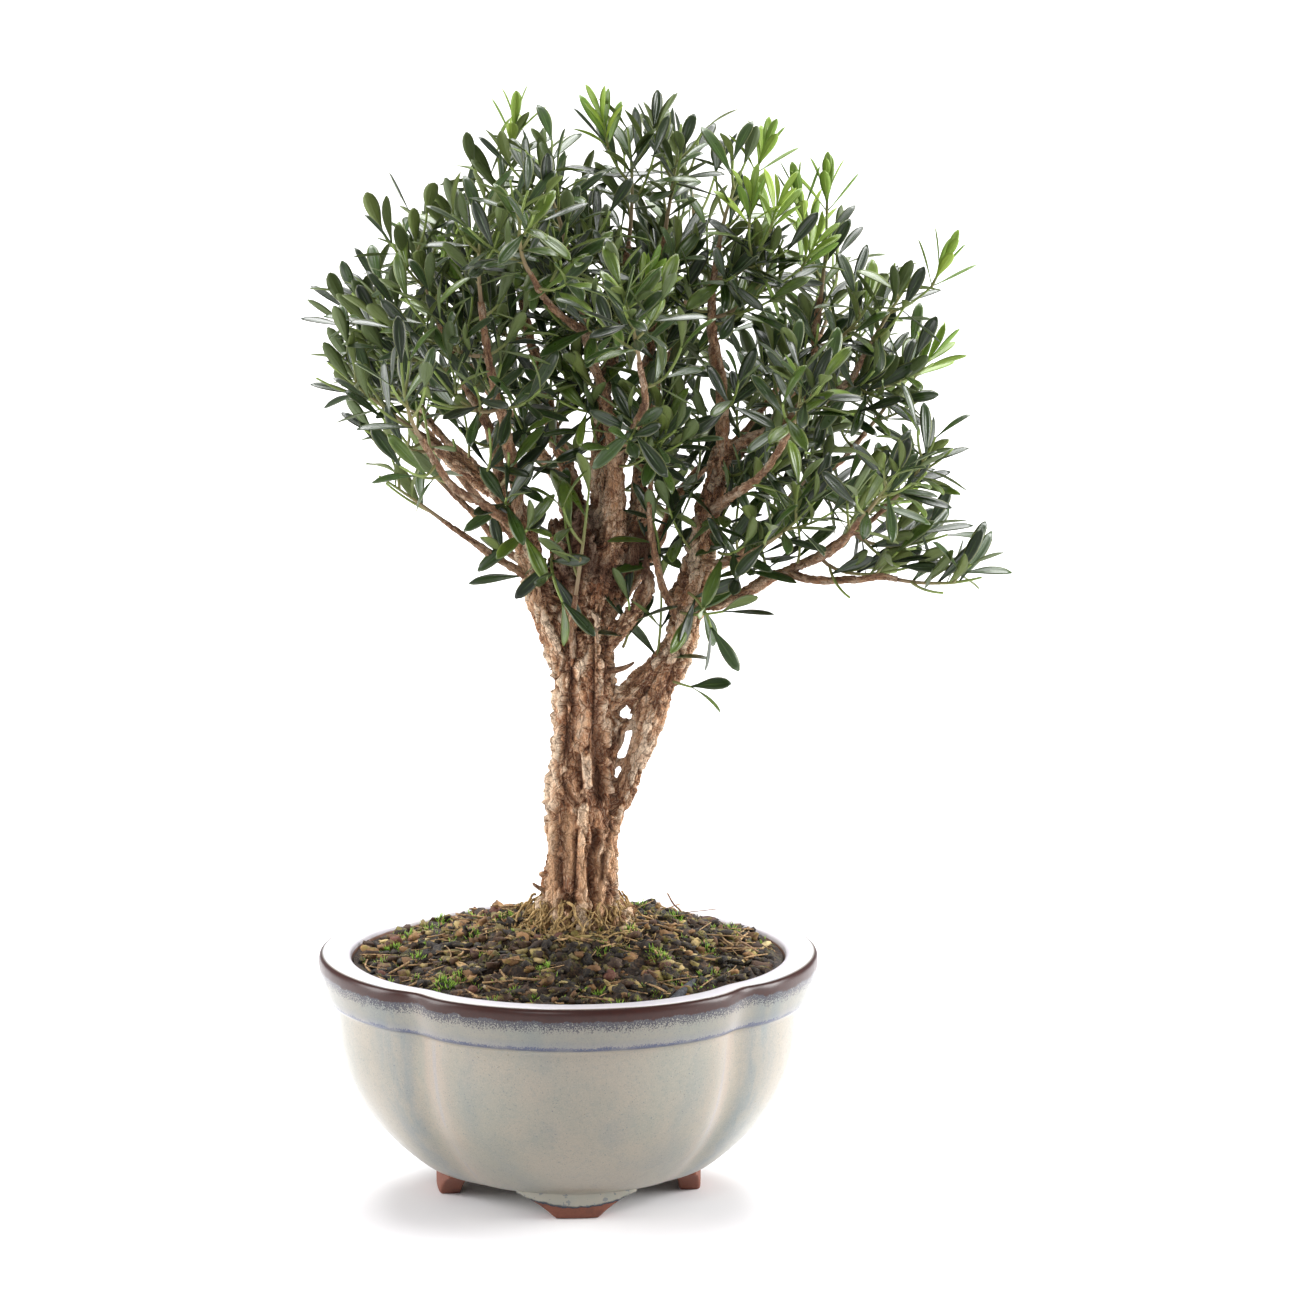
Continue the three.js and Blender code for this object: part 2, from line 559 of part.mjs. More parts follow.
// Side shoots leave the main stem in the axils of its leaf pairs, on alternate sides
function sideStem(main, k, number) {
  const at = 0.16 + 0.17 * number;
  const centre = onSolidStem(main, STEM_RINGS, at);
  const along = main.getTangent(at);
  const chord = main.getPoint(1).sub(main.getPoint(0));
  const side = squareTo(chord);
  side.addScaledVector(along, -side.dot(along)).normalize();
  side.applyAxisAngle(along, degrees(180 * number + 90 * Math.floor(number / 2) + 40 * draw(k, 5, number)));
  side.z = Math.max(side.z, SHOOT_SAG);
  side.normalize();
  const length = chord.length() * (0.62 - 0.09 * number);
  const middle = centre.clone().addScaledVector(along, 0.3 * length).addScaledVector(side, 0.4 * length);
  const end = centre.clone().addScaledVector(along, 0.75 * length).addScaledVector(side, 0.62 * length);
  end.addScaledVector(UP, 0.12 * length);
  return new THREE.QuadraticBezierCurve3(centre, middle, end);
}

// The leaf pairs of one stem, each pair square to the one below. shoot is 0 on the main stem.
function leavesOn(stem, rings, pairs, k, shoot) {
  const leaves = [];
  const square = squareTo(stem.getPoint(1).sub(stem.getPoint(0)));
  for (let pair = 0; pair < pairs; pair += 1) {
    const last = pair === pairs - 1;
    const at = last ? 0.985 : 0.14 + 0.84 * ((pair + 0.35) / pairs);
    const along = stem.getTangent(at);
    const ageing = pair / (pairs - 1);
    for (let hand = 0; hand < 2; hand += 1) {
      const seed = 100 * shoot + 2 * pair + hand;
      const side = square.clone().addScaledVector(along, -square.dot(along)).normalize();
      side.applyAxisAngle(along, degrees(90 * pair + 180 * hand + 45 + 30 * (draw(k, seed, 6) - 0.5)));
      const open = degrees((last ? 24 : 62 - 20 * ageing) + 16 * (draw(k, seed, 7) - 0.5));
      const heading = along.clone().multiplyScalar(Math.cos(open)).addScaledVector(side, Math.sin(open));
      const face = along.clone().addScaledVector(UP, 0.55);
      face.addScaledVector(heading, -face.dot(heading)).normalize();
      const length = LEAF_LENGTH * (0.86 + 0.28 * draw(k, seed, 8)) * (last ? 0.86 : 1);
      const width = LEAF_WIDTH * (0.88 + 0.24 * draw(k, seed, 9));
      const root = onSolidStem(stem, rings, at - hand * LEAF_STEP);
      leaves.push({ root, heading, face, length, width, pair, hand });
    }
  }
  return leaves;
}

// A leaf is a three-sided cone of two rings, drawn out to a spoon shape with a ridge on top: the
// cone's point is the root, its middle ring the widest place, and its base the blunt tip
function leafGeometry(leaf, extra, from = -LEAF_ROOT) {
  const across = leaf.face.clone().cross(leaf.heading);
  const half = leaf.width / 2 + extra;
  const ridge = LEAF_RIDGE + 2 * extra;
  const stations = [
    { along: from, half: 0, ridge: 0 },
    { along: 0.6 * leaf.length, half, ridge },
    { along: leaf.length + extra, half: 0.4 * half, ridge: 0.6 * ridge },
  ];
  return moveVertices(new THREE.ConeGeometry(1, 1, 3, 2), (p) => {
    const station = stations[Math.round((0.5 - p.y) * 2)];
    const spread = Math.hypot(p.x, p.z);
    const sideways = spread > 0 ? p.x / spread / Math.sin(degrees(60)) : 0;
    const height = spread > 0 ? (0.5 + p.z / spread) / 1.5 : 1 / 3;
    const droop = LEAF_DROOP * leaf.length * (Math.max(station.along, 0) / leaf.length) ** 2;
    return leaf.root.clone()
      .addScaledVector(leaf.heading, station.along)
      .addScaledVector(across, sideways * station.half)
      .addScaledVector(leaf.face, height * station.ridge - extra - droop);
  });
}

function stemSolid(curve, baseRadius, tipRadius, rings, extra) {
  const radiusAt = (t) => THREE.MathUtils.lerp(baseRadius, tipRadius, t) + extra;
  return toSolid(bentCylinder(curve, radiusAt, STEM_SIDES, rings));
}

// Hand-set turns, in degrees, for the sprays whose own draw would send them into a neighbour
const TURNS = { 1: 40, 2: -45, 9: 180, 17: 50, 34: 12, 49: 40 };

function boxesMeet(a, b) {
  return [0, 1, 2].every((axis) => a.min[axis] <= b.max[axis] && b.min[axis] <= a.max[axis]);
}

function isClear(candidate, others) {
  const box = candidate.boundingBox();
  return others.every((other) => !boxesMeet(box, other.box)
    || candidate.intersect(other.solid).isEmpty());
}

// A stem that leaves a limb's side is let in, step by step, until its foot is a gap from the wood
function seatedStem(limb, fraction, k, fixed) {
  const stemAt = (sunk) => mainStem(limb, fraction, k, TURNS[k] ?? 0, sunk);
  const solidAt = (sunk) => stemSolid(stemAt(sunk), STEM_RADIUS, STEM_TIP_RADIUS, STEM_RINGS, 0);
  const clearAt = (sunk) => isClear(solidAt(sunk + GAP), fixed);
  const furthest = fraction === 1 ? 0 : 3;
  let sunk = 0;
  while (sunk < furthest && clearAt(sunk + GAP / 2)) sunk += GAP / 2;
  return stemAt(sunk);
}

// Sprays are laid out together: all main stems first, then side shoots, then leaves, and a side
// shoot or leaf that would touch another spray or the wood is left out of the solid
function spraySolids(wood, pot) {
  const fixed = [{ solid: wood, box: wood.boundingBox() }, { solid: pot, box: pot.boundingBox() }];
  const sprays = [];
  for (const limb of Object.values(LIMBS)) {
    for (const fraction of limb.sprays) {
      const k = sprays.length;
      const main = seatedStem(limb, fraction, k, fixed);
      const solid = stemSolid(main, STEM_RADIUS, STEM_TIP_RADIUS, STEM_RINGS, 0);
      sprays.push({ k, main, shoots: [], leaves: 0, solid, box: solid.boundingBox() });
    }
  }
  const addPiece = (spray, piece) => {
    spray.solid = spray.solid.add(piece);
    spray.box = spray.solid.boundingBox();
  };
  for (const spray of sprays) {
    const others = fixed.concat(sprays.filter((other) => other !== spray));
    for (let number = 0; number < SIDE_SHOOTS; number += 1) {
      if (spray.shoots.length === SOLID_SIDE_SHOOTS) break;
      const shoot = sideStem(spray.main, spray.k, number);
      if (!isClear(stemSolid(shoot, STEM_TIP_RADIUS, STEM_TIP_RADIUS, 1, CLEARANCE), others)) continue;
      spray.shoots.push({ number, shoot });
      addPiece(spray, stemSolid(shoot, STEM_TIP_RADIUS, STEM_TIP_RADIUS, 1, 0));
    }
  }
  for (const spray of sprays) {
    const others = fixed.concat(sprays.filter((other) => other !== spray));
    const onMain = leavesOn(spray.main, STEM_RINGS, PAIRS, spray.k, 0);
    const onShoots = spray.shoots
      .map(({ number, shoot }) => leavesOn(shoot, 1, SIDE_PAIRS, spray.k, number + 1));
    const wanted = [
      ...onMain.slice(-2),
      ...onShoots.flatMap((leaves) => leaves.slice(-2)),
      ...onMain.slice(4, 6),
      ...onMain.slice(0, 2),
      ...onShoots.flatMap((leaves) => leaves.slice(0, 1)),
      ...onMain.slice(2, 4),
      ...onMain.slice(6, -2),
      ...onShoots.flatMap((leaves) => leaves.slice(1, -2)),
    ];
    for (const leaf of wanted) {
      if (spray.leaves === SOLID_LEAVES) break;
      if (!isClear(toSolid(leafGeometry(leaf, CLEARANCE)), others)) continue;
      if (!isClear(toSolid(leafGeometry(leaf, 0, 0.2 * leaf.length)), [spray])) continue;
      addPiece(spray, toSolid(leafGeometry(leaf, 0)));
      spray.leaves += 1;
    }
  }
  return sprays;
}

// The assembly
const group = new THREE.Group();

function place(name, geometry, colour, roughness, metalness = 0) {
  const material = new THREE.MeshStandardMaterial({ color: colour, roughness, metalness });
  const mesh = new THREE.Mesh(geometry, material);
  mesh.name = name;
  group.add(mesh);
}

const pot = potSolid();
const wood = woodSolid();
place('pot', toGeometry(pot), 0xbdbdae, 0.25);
place('drain_screen', toGeometry(drainScreen()), 0x23272a, 0.6);
place('soil', toGeometry(soilSolid()), 0x3a2d22, 0.95);
place('wood', toGeometry(wood), 0x96755a, 0.9);
for (const spray of spraySolids(wood, pot)) {
  const name = `spray_${String(spray.k + 1).padStart(2, '0')}`;
  place(name, toGeometry(spray.solid), 0x2c4a2a, 0.4);
}

const box = new THREE.Box3().setFromObject(group);
const middle = box.getCenter(new THREE.Vector3());
group.position.set(-middle.x, -middle.y, 0);
group.updateMatrixWorld(true);

export default group;
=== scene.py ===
"""Chinese boxwood bonsai in a four-lobed glazed pot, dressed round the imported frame.

The sections follow the tree as it is potted: pot and feet, drain screen, soil and what lies on it,
wood, roots and twigs, leaves, and last the studio. Lengths are in millimetres from the pot's axis,
and new_piece turns them into metres in the frame.
"""

import bpy
import numpy as np
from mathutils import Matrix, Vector


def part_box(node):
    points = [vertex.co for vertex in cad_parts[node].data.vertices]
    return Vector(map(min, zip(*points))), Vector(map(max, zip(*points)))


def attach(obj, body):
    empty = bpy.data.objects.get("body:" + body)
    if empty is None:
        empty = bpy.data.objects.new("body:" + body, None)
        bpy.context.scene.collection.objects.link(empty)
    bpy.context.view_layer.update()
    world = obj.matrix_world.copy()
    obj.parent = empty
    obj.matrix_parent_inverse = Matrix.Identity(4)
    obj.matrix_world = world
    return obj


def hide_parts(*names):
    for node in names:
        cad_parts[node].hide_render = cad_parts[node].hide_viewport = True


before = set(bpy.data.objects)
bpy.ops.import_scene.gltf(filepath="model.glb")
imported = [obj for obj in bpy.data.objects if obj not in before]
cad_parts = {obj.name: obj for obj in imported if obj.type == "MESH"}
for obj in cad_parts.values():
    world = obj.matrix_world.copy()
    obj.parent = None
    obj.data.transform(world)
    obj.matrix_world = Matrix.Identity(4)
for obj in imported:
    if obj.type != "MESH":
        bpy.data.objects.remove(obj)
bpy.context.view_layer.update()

# Pot body: one piece of thrown stoneware pressed into four lobes, with a lip band and a flat rim.
# Celadon glaze all over, with an iron-brown band round the rim that bleeds blue into the celadon.
MM = 0.001
POT_LOW, POT_HIGH = (np.array(corner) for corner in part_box("pot"))
POT_AXIS = (POT_LOW + POT_HIGH) / 2 * (1, 1, 0)
POT_TURN = 4                     # degrees that the front lobe is turned to the right
LOBE_CENTRE = 0.13               # share of the radius from the axis to a lobe's own centre
FOLD_SOFTNESS, FOLD_DENT = 4.5, 6     # degrees
POT_AROUND = 432
DRAIN_RADIUS = 9
FLOOR_UNDERSIDE = 10
FLOOR_TOP = 17
RIM_EDGE = (98.9, 97.2)          # radius and height where the rim's top meets its outer face
POT_PROFILE = (
    # each stretch is a smooth line through [radius, height, depth of the folds]
    [[DRAIN_RADIUS, FLOOR_UNDERSIDE, 0], [30, FLOOR_UNDERSIDE, 0.002], [52, FLOOR_UNDERSIDE, 0.006]],
    [[52, FLOOR_UNDERSIDE, 0.006], [58, 12.4, 0.01], [66, 18.5, 0.014], [73.5, 25.6, 0.02],
     [79.8, 33, 0.024], [85.6, 41.8, 0.028], [90, 52, 0.03], [92.6, 63, 0.03], [93.5, 73, 0.03],
     [93.5, 77.6, 0.03]],
    [[93.5, 77.6, 0.03], [94.3, 78.7, 0.03], [96.2, 79.6, 0.03], [97.4, 81, 0.029], [98.6, 85, 0.028],
     [99.6, 90, 0.026], [100, 94, 0.026], [99.7, 96.2, 0.026], [*RIM_EDGE, 0.026]],
    [[*RIM_EDGE, 0.026], [97.6, 97.5, 0.024], [94, 97.4, 0.02], [89.6, 97.1, 0.014], [87.6, 96.4, 0.012],
     [86.9, 94.8, 0.012]],
    [[86.9, 94.8, 0.012], [86.2, 88, 0.013], [85.3, 79, 0.014], [82.4, 60, 0.014], [78.6, 45, 0.014],
     [66, 27, 0.01], [50, FLOOR_TOP, 0.004]],
    [[50, FLOOR_TOP, 0.004], [30, FLOOR_TOP, 0.002], [DRAIN_RADIUS, FLOOR_TOP, 0]],
)
PROFILE_STEPS = (3, 5, 4, 5, 4, 3)     # points between two knots of each stretch


def smooth(low, high, value):
    """A soft step: 0 below low, 1 above high, and 3t^2 - 2t^3 between them."""
    t = np.clip((value - low) / (high - low), 0, 1)
    return t * t * (3 - 2 * t)


def unit(vectors):
    """Each vector divided by its own length."""
    return vectors / np.linalg.norm(vectors, axis=-1, keepdims=True)


def curve_through(knots, t):
    """Uniform Catmull-Rom curve: between two knots a cubic whose end slopes are half the step from the
    knot before to the knot after. The ends have a mirrored knot beyond them. t runs from 0 to 1."""
    knots = np.asarray(knots, float)
    padded = np.concatenate([[2 * knots[0] - knots[1]], knots, [2 * knots[-1] - knots[-2]]])
    place = np.asarray(t) * (len(knots) - 1)
    i = np.clip(np.floor(place).astype(int), 0, len(knots) - 2)
    w = (place - i)[..., None]
    before, here, there, after = (padded[i + step] for step in range(4))
    slope, slope_on = (there - before) / 2, (after - here) / 2
    return (here + w * slope + w ** 2 * (3 * (there - here) - 2 * slope - slope_on)
            + w ** 3 * (2 * (here - there) + slope + slope_on))


def lobe(angle, fold_depth):
    """Factor on the radius: four arcs, each centred a share of the radius off the axis, that meet on
    the diagonals in a fold. The arc's own angle is softened there, and a small dent is taken off."""
    turned = angle - np.radians(POT_TURN)
    from_lobe = np.abs(turned - np.pi / 2 * np.round(turned / (np.pi / 2)))
    from_fold = np.pi / 4 - from_lobe
    a = np.pi / 4 - np.hypot(from_fold, np.radians(FOLD_SOFTNESS))
    bulge = LOBE_CENTRE * np.cos(a) + np.sqrt((1 - LOBE_CENTRE) ** 2 - (LOBE_CENTRE * np.sin(a)) ** 2)
    return bulge - fold_depth * np.exp(-(from_fold / np.radians(FOLD_DENT)) ** 2)


def grid_faces(rows, columns, around=True, closed=False):
    """Quads of a grid of points. around joins the last column to the first, closed the last row."""
    row, column = np.meshgrid(np.arange(rows if closed else rows - 1),
                              np.arange(columns if around else columns - 1), indexing="ij")
    next_row, next_column = (row + 1) % rows, (column + 1) % columns
    corners = [row * columns + column, row * columns + next_column,
               next_row * columns + next_column, next_row * columns + column]
    return np.stack(corners, -1).reshape(-1, 4)


def new_piece(name, points, faces, finish, **marks):
    """An object from points in millimetres and arrays of faces, with one value or vector a point for
    each mark, which the finish can read as an attribute."""
    mesh = bpy.data.meshes.new(name)
    corners = np.concatenate([part.ravel() for part in faces]).astype(np.int32)
    sizes = np.concatenate([np.full(len(part), part.shape[1]) for part in faces])
    starts = np.concatenate([[0], np.cumsum(sizes)[:-1]]).astype(np.int32)
    mesh.vertices.add(len(points))
    mesh.vertices.foreach_set("co", (points * MM + POT_AXIS).astype(np.float32).ravel())
    mesh.loops.add(len(corners))
    mesh.loops.foreach_set("vertex_index", corners)
    mesh.polygons.add(len(sizes))
    mesh.polygons.foreach_set("loop_start", starts)
    mesh.polygons.foreach_set("use_smooth", np.ones(len(sizes), bool))
    for mark, values in marks.items():
        values = np.asarray(values, np.float32)
        kind, field = ("FLOAT", "value") if values.ndim == 1 else ("FLOAT_VECTOR", "vector")
        mesh.attributes.new(mark, kind, "POINT").data.foreach_set(field, values.ravel())
    mesh.update(calc_edges=True)
    mesh.materials.append(finish)
    piece = bpy.data.objects.new(name, mesh)
    bpy.context.scene.collection.objects.link(piece)
    return piece


class Shade:
    """One socket of a finish's nodes. Arithmetic on it adds Math nodes."""

    def __init__(self, finish, socket=None):
        self.finish = finish
        self.socket = socket

    def node(self, kind, inputs=None, output=0, stops=None, **settings):
        """Adds a node: its settings and a ramp's stops first, then its sockets' values or links."""
        tree = self.finish.node_tree
        made = tree.nodes.new("ShaderNode" + kind)
        for setting, value in settings.items():
            setattr(made, setting, value)
        if stops:
            first, last = made.color_ramp.elements
            first.position, last.position = stops[0][0], stops[-1][0]
            for place, _ in stops[1:-1]:
                made.color_ramp.elements.new(place)
            for element, (_, colour) in zip(made.color_ramp.elements, stops):
                element.color = colour
        for key, value in (inputs or {}).items():
            if isinstance(value, Shade):
                tree.links.new(value.socket, made.inputs[key])
            else:
                made.inputs[key].default_value = value
        return Shade(self.finish, made.outputs[output])

    def math(self, operation, *values):
        """A Math node on values and numbers."""
        return self.node("Math", dict(enumerate(values)), operation=operation)

    def __add__(self, other):
        return self.math("ADD", self, other)

    def __sub__(self, other):
        return self.math("SUBTRACT", self, other)

    def __rsub__(self, other):
        return self.math("SUBTRACT", other, self)

    def __mul__(self, other):
        return self.math("MULTIPLY", self, other)

    __radd__ = __add__
    __rmul__ = __mul__

    def between(self, low, high):
        """A soft step on this value: 0 at low and 1 at high."""
        return self.node("MapRange", {"Value": self, "From Min": low, "From Max": high},
                         interpolation_type="SMOOTHSTEP")

    def ramp(self, *stops):
        """This value turned into a colour by stops of place and colour."""
        return self.node("ValToRGB", {"Fac": self}, stops=stops)

    def blend(self, first, second):
        """first where this value is 0 and second where it is 1, both colours."""
        return self.node("Mix", {0: self, 6: first, 7: second}, output=2, data_type="RGBA")

    def painted(self, *layers):
        """This colour under layers, each one's cover from 0 to 1, its share at most, and its colour."""
        colour = self
        for cover, share, paint in layers:
            colour = (cover * share).blend(colour, paint)
        return colour

    def noise(self, scale, detail=2.0, roughness=0.5):
        """Cloudy noise over this vector, scale being its cells per unit."""
        return self.node("TexNoise", {"Vector": self, "Scale": scale, "Detail": detail,
                                      "Roughness": roughness})

    def warped(self, scale, amount):
        """This vector pushed about by noise, by up to half the amount each way."""
        push = self.node("TexNoise", {"Vector": self, "Scale": scale}, output="Color")
        return self.node("VectorMath", {0: push, 1: (amount,) * 3, 2: self}, operation="MULTIPLY_ADD")

    def seams(self, scale):
        """Distance from the nearest edge between Voronoi cells."""
        return self.node("TexVoronoi", {"Vector": self, "Scale": scale}, output="Distance",
                         feature="DISTANCE_TO_EDGE")

    def cell_tone(self, scale):
        """One random number to each Voronoi cell: its random colour, greyed by a Math node."""
        return self.node("TexVoronoi", {"Vector": self, "Scale": scale}, output="Color") * 1.0

    def stretched(self, x, y, z):
        """This vector with each axis multiplied by its own number."""
        return self.node("VectorMath", {0: self, 1: (x, y, z)}, operation="MULTIPLY")

    def mark(self, name, output="Fac"):
        """The piece's own attribute of that name."""
        return self.node("Attribute", output=output, attribute_name=name)

    def bump(self, distance, strength):
        """The surface's normal tilted as if this height, in millimetres, stood on it."""
        return self.node("Bump", {"Height": self, "Distance": distance * MM, "Strength": strength})

    def coat(self, **sockets):
        """Fills the sockets of the finish's own shader, named in small letters."""
        shader = self.finish.node_tree.nodes["Principled BSDF"]
        names = {socket.name.lower().replace(" ", "_"): socket for socket in reversed(shader.inputs)}
        for name, value in sockets.items():
            if isinstance(value, Shade):
                self.finish.node_tree.links.new(value.socket, names[name])
            else:
                names[name].default_value = value
        return self.finish


def new_finish(name):
    """An empty procedural finish and its Object coordinates."""
    finish = bpy.data.materials.new(name)
    finish.use_nodes = True
    return Shade(finish), Shade(finish).node("TexCoord", output="Object")


def ink(red, green, blue):
    """A colour given as on a screen, from 0 to 255, made linear."""
    values = np.array([red, green, blue]) / 255
    linear = np.where(values <= 0.04045, values / 12.92, ((values + 0.055) / 1.055) ** 2.4)
    return (*linear.tolist(), 1.0)


def glaze_finish():
    """Celadon over stoneware: clouds of blue and cream, runs along the folds, the iron band, and a painted
    highlight on the rim's top. Covers go by millimetres down from the rim's edge and by degrees from
    the nearest fold."""
    shade, place = new_finish("celadon_glaze")
    down, side = shade.mark("from_rim"), shade.mark("from_fold")
    clouds = place.noise(24, 3, 0.6).between(0.4, 0.62)
    runs = place.stretched(1, 1, 0.16).noise(150, 4, 0.6)
    mottle = place.noise(420, 3, 0.7)
    fine = place.noise(900, 2, 0.6)
    grain = place.noise(1700, 2, 0.7)
    veil = place.stretched(1, 1, 0.35).noise(46, 3, 0.55).between(0.5, 0.72)
    blue_run = side.between(1.5, 6) * side.between(19, 9) * (0.35 + 0.65 * runs.between(0.38, 0.6))
    cream_run = side.between(1.5, -1.5) * side.between(-13, -4) * (0.4 + 0.6 * runs.between(0.4, 0.62))
    drip = side.between(-3.2, -4) * side.between(-5.4, -4.6) * runs.between(0.42, 0.56) * down.between(14, 26)
    specks = fine.between(0.69, 0.74) * place.noise(60, 1).between(0.45, 0.6)
    pins = place.noise(1250, 1, 0.5).between(0.73, 0.77)
    lip = down.between(0, 3) * down.between(18, 14)
    edge = runs * 4.0 + place.noise(700, 3, 0.7) * 2.2
    fold_lift = side.between(-7, -1) * side.between(7, 1)
    past_band = down - (8.3 - edge - fold_lift)
    band = past_band.between(0.35, -0.25) * down.between(-0.5, 0.1)
    speckles = (grain - past_band * 0.05).between(0.3, 0.4)
    fringe = speckles * past_band.between(6, 3.5) * down.between(-0.6, 0.4)
    line_at = down + (runs - 0.5) * 2.6
    lip_halo = line_at.between(12.5, 17.4) * line_at.between(21.2, 19)
    lip_line = (grain + line_at.between(15.4, 17.7) * line_at.between(20.8, 18.5) * 0.34).between(0.62, 0.8)
    broken = 0.6 + 0.4 * place.stretched(1, 1, 0.3).noise(95, 2).between(0.36, 0.56)
    inner_line = down.between(-13.1, -13.7) * down.between(-15.2, -14.4)
    base = clouds.blend(ink(145, 138, 124), ink(136, 134, 122)).painted(
        (mottle.between(0.45, 0.75), 0.3, ink(108, 118, 116)),
        (veil, 0.35, ink(110, 119, 119)),
        (blue_run, 0.6, ink(104, 116, 120)),
        (cream_run, 0.6, ink(152, 134, 118)),
        (drip, 0.25, ink(112, 126, 144)),
        (specks, 0.75, ink(104, 90, 70)),
        (pins, 0.7, ink(74, 92, 104)),
        (grain.between(0.5, 0.7), 0.16, ink(84, 92, 92)),
        (grain.between(0.46, 0.3), 0.2, ink(176, 166, 150)),
        (lip, 0.45, ink(98, 104, 100)),
        (fringe, 0.85, ink(34, 32, 50)),
        (lip_halo, 0.4, ink(90, 98, 116)),
        (lip_line * broken, 0.9, ink(56, 64, 92)),
        (band, 1, mottle.blend(ink(60, 28, 20), ink(38, 18, 14))),
        # painted highlight: the rim's top is painted near-white, as where its glossy face catches the light
        (down.between(-0.4, -1.2), 0.85, ink(240, 238, 246)),
        (down.between(-13.6, -15), 0.8, ink(160, 146, 130)),
        (inner_line, 0.8, ink(150, 96, 58)))
    pits = fine.between(0.7, 0.76) * -0.12 + place.noise(70, 2) * 0.35 + mottle * 0.03
    return shade.coat(base_color=base, roughness=0.26 + 0.1 * mottle, normal=pits.bump(1.0, 0.6),
                      coat_weight=0.3 - 0.3 * band, coat_roughness=0.1, specular_ior_level=0.36)


def pot_body():
    """The profile's stretches are sampled and carried round the axis, and the lobes scale each ring."""
    stretches = []
    for knots, steps in zip(POT_PROFILE, PROFILE_STEPS):
        t = np.linspace(0, 1, (len(knots) - 1) * steps + 1)
        stretches.append(curve_through(knots, t)[:-1])
    profile = np.concatenate([*stretches, [POT_PROFILE[-1][-1]]])
    lengths = np.concatenate([[0], np.cumsum(np.hypot(*np.diff(profile[:, :2], axis=0).T))])
    rim = np.argmin(np.hypot(*(profile[:, :2] - RIM_EDGE).T))
    angle = np.linspace(0, 2 * np.pi, POT_AROUND, endpoint=False)
    radius, height, depth = profile.T
    lobed = radius * (1 + (lobe(angle[:, None], depth) - 1) * smooth(DRAIN_RADIUS, 30, radius))
    points = np.stack([lobed * np.cos(angle)[:, None], lobed * np.sin(angle)[:, None],
                       np.broadcast_to(height, lobed.shape)], -1)
    turned = np.degrees(angle) - POT_TURN - 45
    fold = np.round(turned / 90)
    from_fold = (turned - 90 * fold) * np.where(fold % 2 == 0, -1, 1)
    down = np.broadcast_to(lengths[rim] - lengths, lobed.shape).ravel()
    side = np.broadcast_to(from_fold[:, None], lobed.shape).ravel()
    faces = grid_faces(POT_AROUND, len(profile), closed=True)
    return points.reshape(-1, 3), faces, down, side


GLAZE = glaze_finish()
body_points, body_faces, from_rim, from_fold = pot_body()
body = new_piece("pot_body", body_points, [body_faces], GLAZE, from_rim=from_rim, from_fold=from_fold)
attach(body, "root")
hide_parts("pot")

# Feet: four cusped brackets of the same clay, luted under the lobes. They are wiped bare of glaze to
# stand on, and on the front one the glaze reaches halfway down and ends in a dark wavy edge.
FOOT_OUTER, FOOT_INNER = 53, 44
FOOT_TOP = 13                    # runs 3 mm up into the pot's underside
FOOT_FLAT = 8.5                  # half the width that stands on the table
FLAT_SHARE = 0.36                # of the places across the foot
CUSP = ((FOOT_FLAT, 0), (15.5, 7), (24, FLOOR_UNDERSIDE))     # curve of the underside, across and up
FOOT_BOW = 0.006
FOOT_ACROSS, FOOT_ROUND = 41, 28
GLAZE_LINES = (4.4, 11, 11, 11)  # height where the glaze ends on the front, right, back and left foot
GLAZE_BOW = 0.009                # and how it rises to the cusps


def arc(ends, t):
    """A quadratic curve: start, middle and end weighted by (1-t)^2, 2t(1-t) and t^2."""
    start, middle, end = ends
    t = np.asarray(t, float)[..., None]
    return start * (1 - t) ** 2 + middle * 2 * t * (1 - t) + end * t ** 2


def tube_faces(rings, sides):
    """The quads between the rings of a tube, and its two flat ends."""
    ring = np.arange(sides)
    return [grid_faces(rings, sides), np.stack([ring[::-1], ring + (rings - 1) * sides])]


def repeated(faces, count, size):
    """The faces of one shape for that many copies of it, each of size points, one after another."""
    return (faces[None] + (np.arange(count) * size)[:, None, None]).reshape(-1, faces.shape[1])


def pot_feet():
    """Across the foot the underside follows a quadratic curve from the flat out to the cusp. At each
    place the section is a superellipse between the outer and the inner face."""
    u = np.linspace(-1, 1, FOOT_ACROSS)
    t = np.clip((np.abs(u) - FLAT_SHARE) / (1 - FLAT_SHARE), 0, 1)
    cusp_x, bottom = arc(np.array(CUSP, float), t).T
    x = np.where(t > 0, np.sign(u) * cusp_x, u / FLAT_SHARE * FOOT_FLAT)
    a = np.linspace(0, 2 * np.pi, FOOT_ROUND, endpoint=False)
    flatten = np.array([np.cos(a), np.sin(a)])
    across, up = np.sign(flatten) * np.abs(flatten) ** 0.3
    y = -(FOOT_OUTER + FOOT_INNER) / 2 + across * (FOOT_OUTER - FOOT_INNER) / 2 + FOOT_BOW * x[:, None] ** 2
    z = (FOOT_TOP + bottom[:, None]) / 2 + up * (FOOT_TOP - bottom[:, None]) / 2
    one = np.stack([np.broadcast_to(x[:, None], y.shape), y, z], -1).reshape(-1, 3)
    points = []
    for turn in np.radians(POT_TURN + 90 * np.arange(4)):
        c, s = np.cos(turn), np.sin(turn)
        points.append(one @ np.array([[c, s, 0], [-s, c, 0], [0, 0, 1]]))
    faces = [repeated(part, 4, len(one)) for part in tube_faces(FOOT_ACROSS, FOOT_ROUND)]
    line = np.repeat(GLAZE_LINES, len(one)) + GLAZE_BOW * np.tile(one[:, 0] ** 2, 4)
    return np.concatenate(points), faces, line


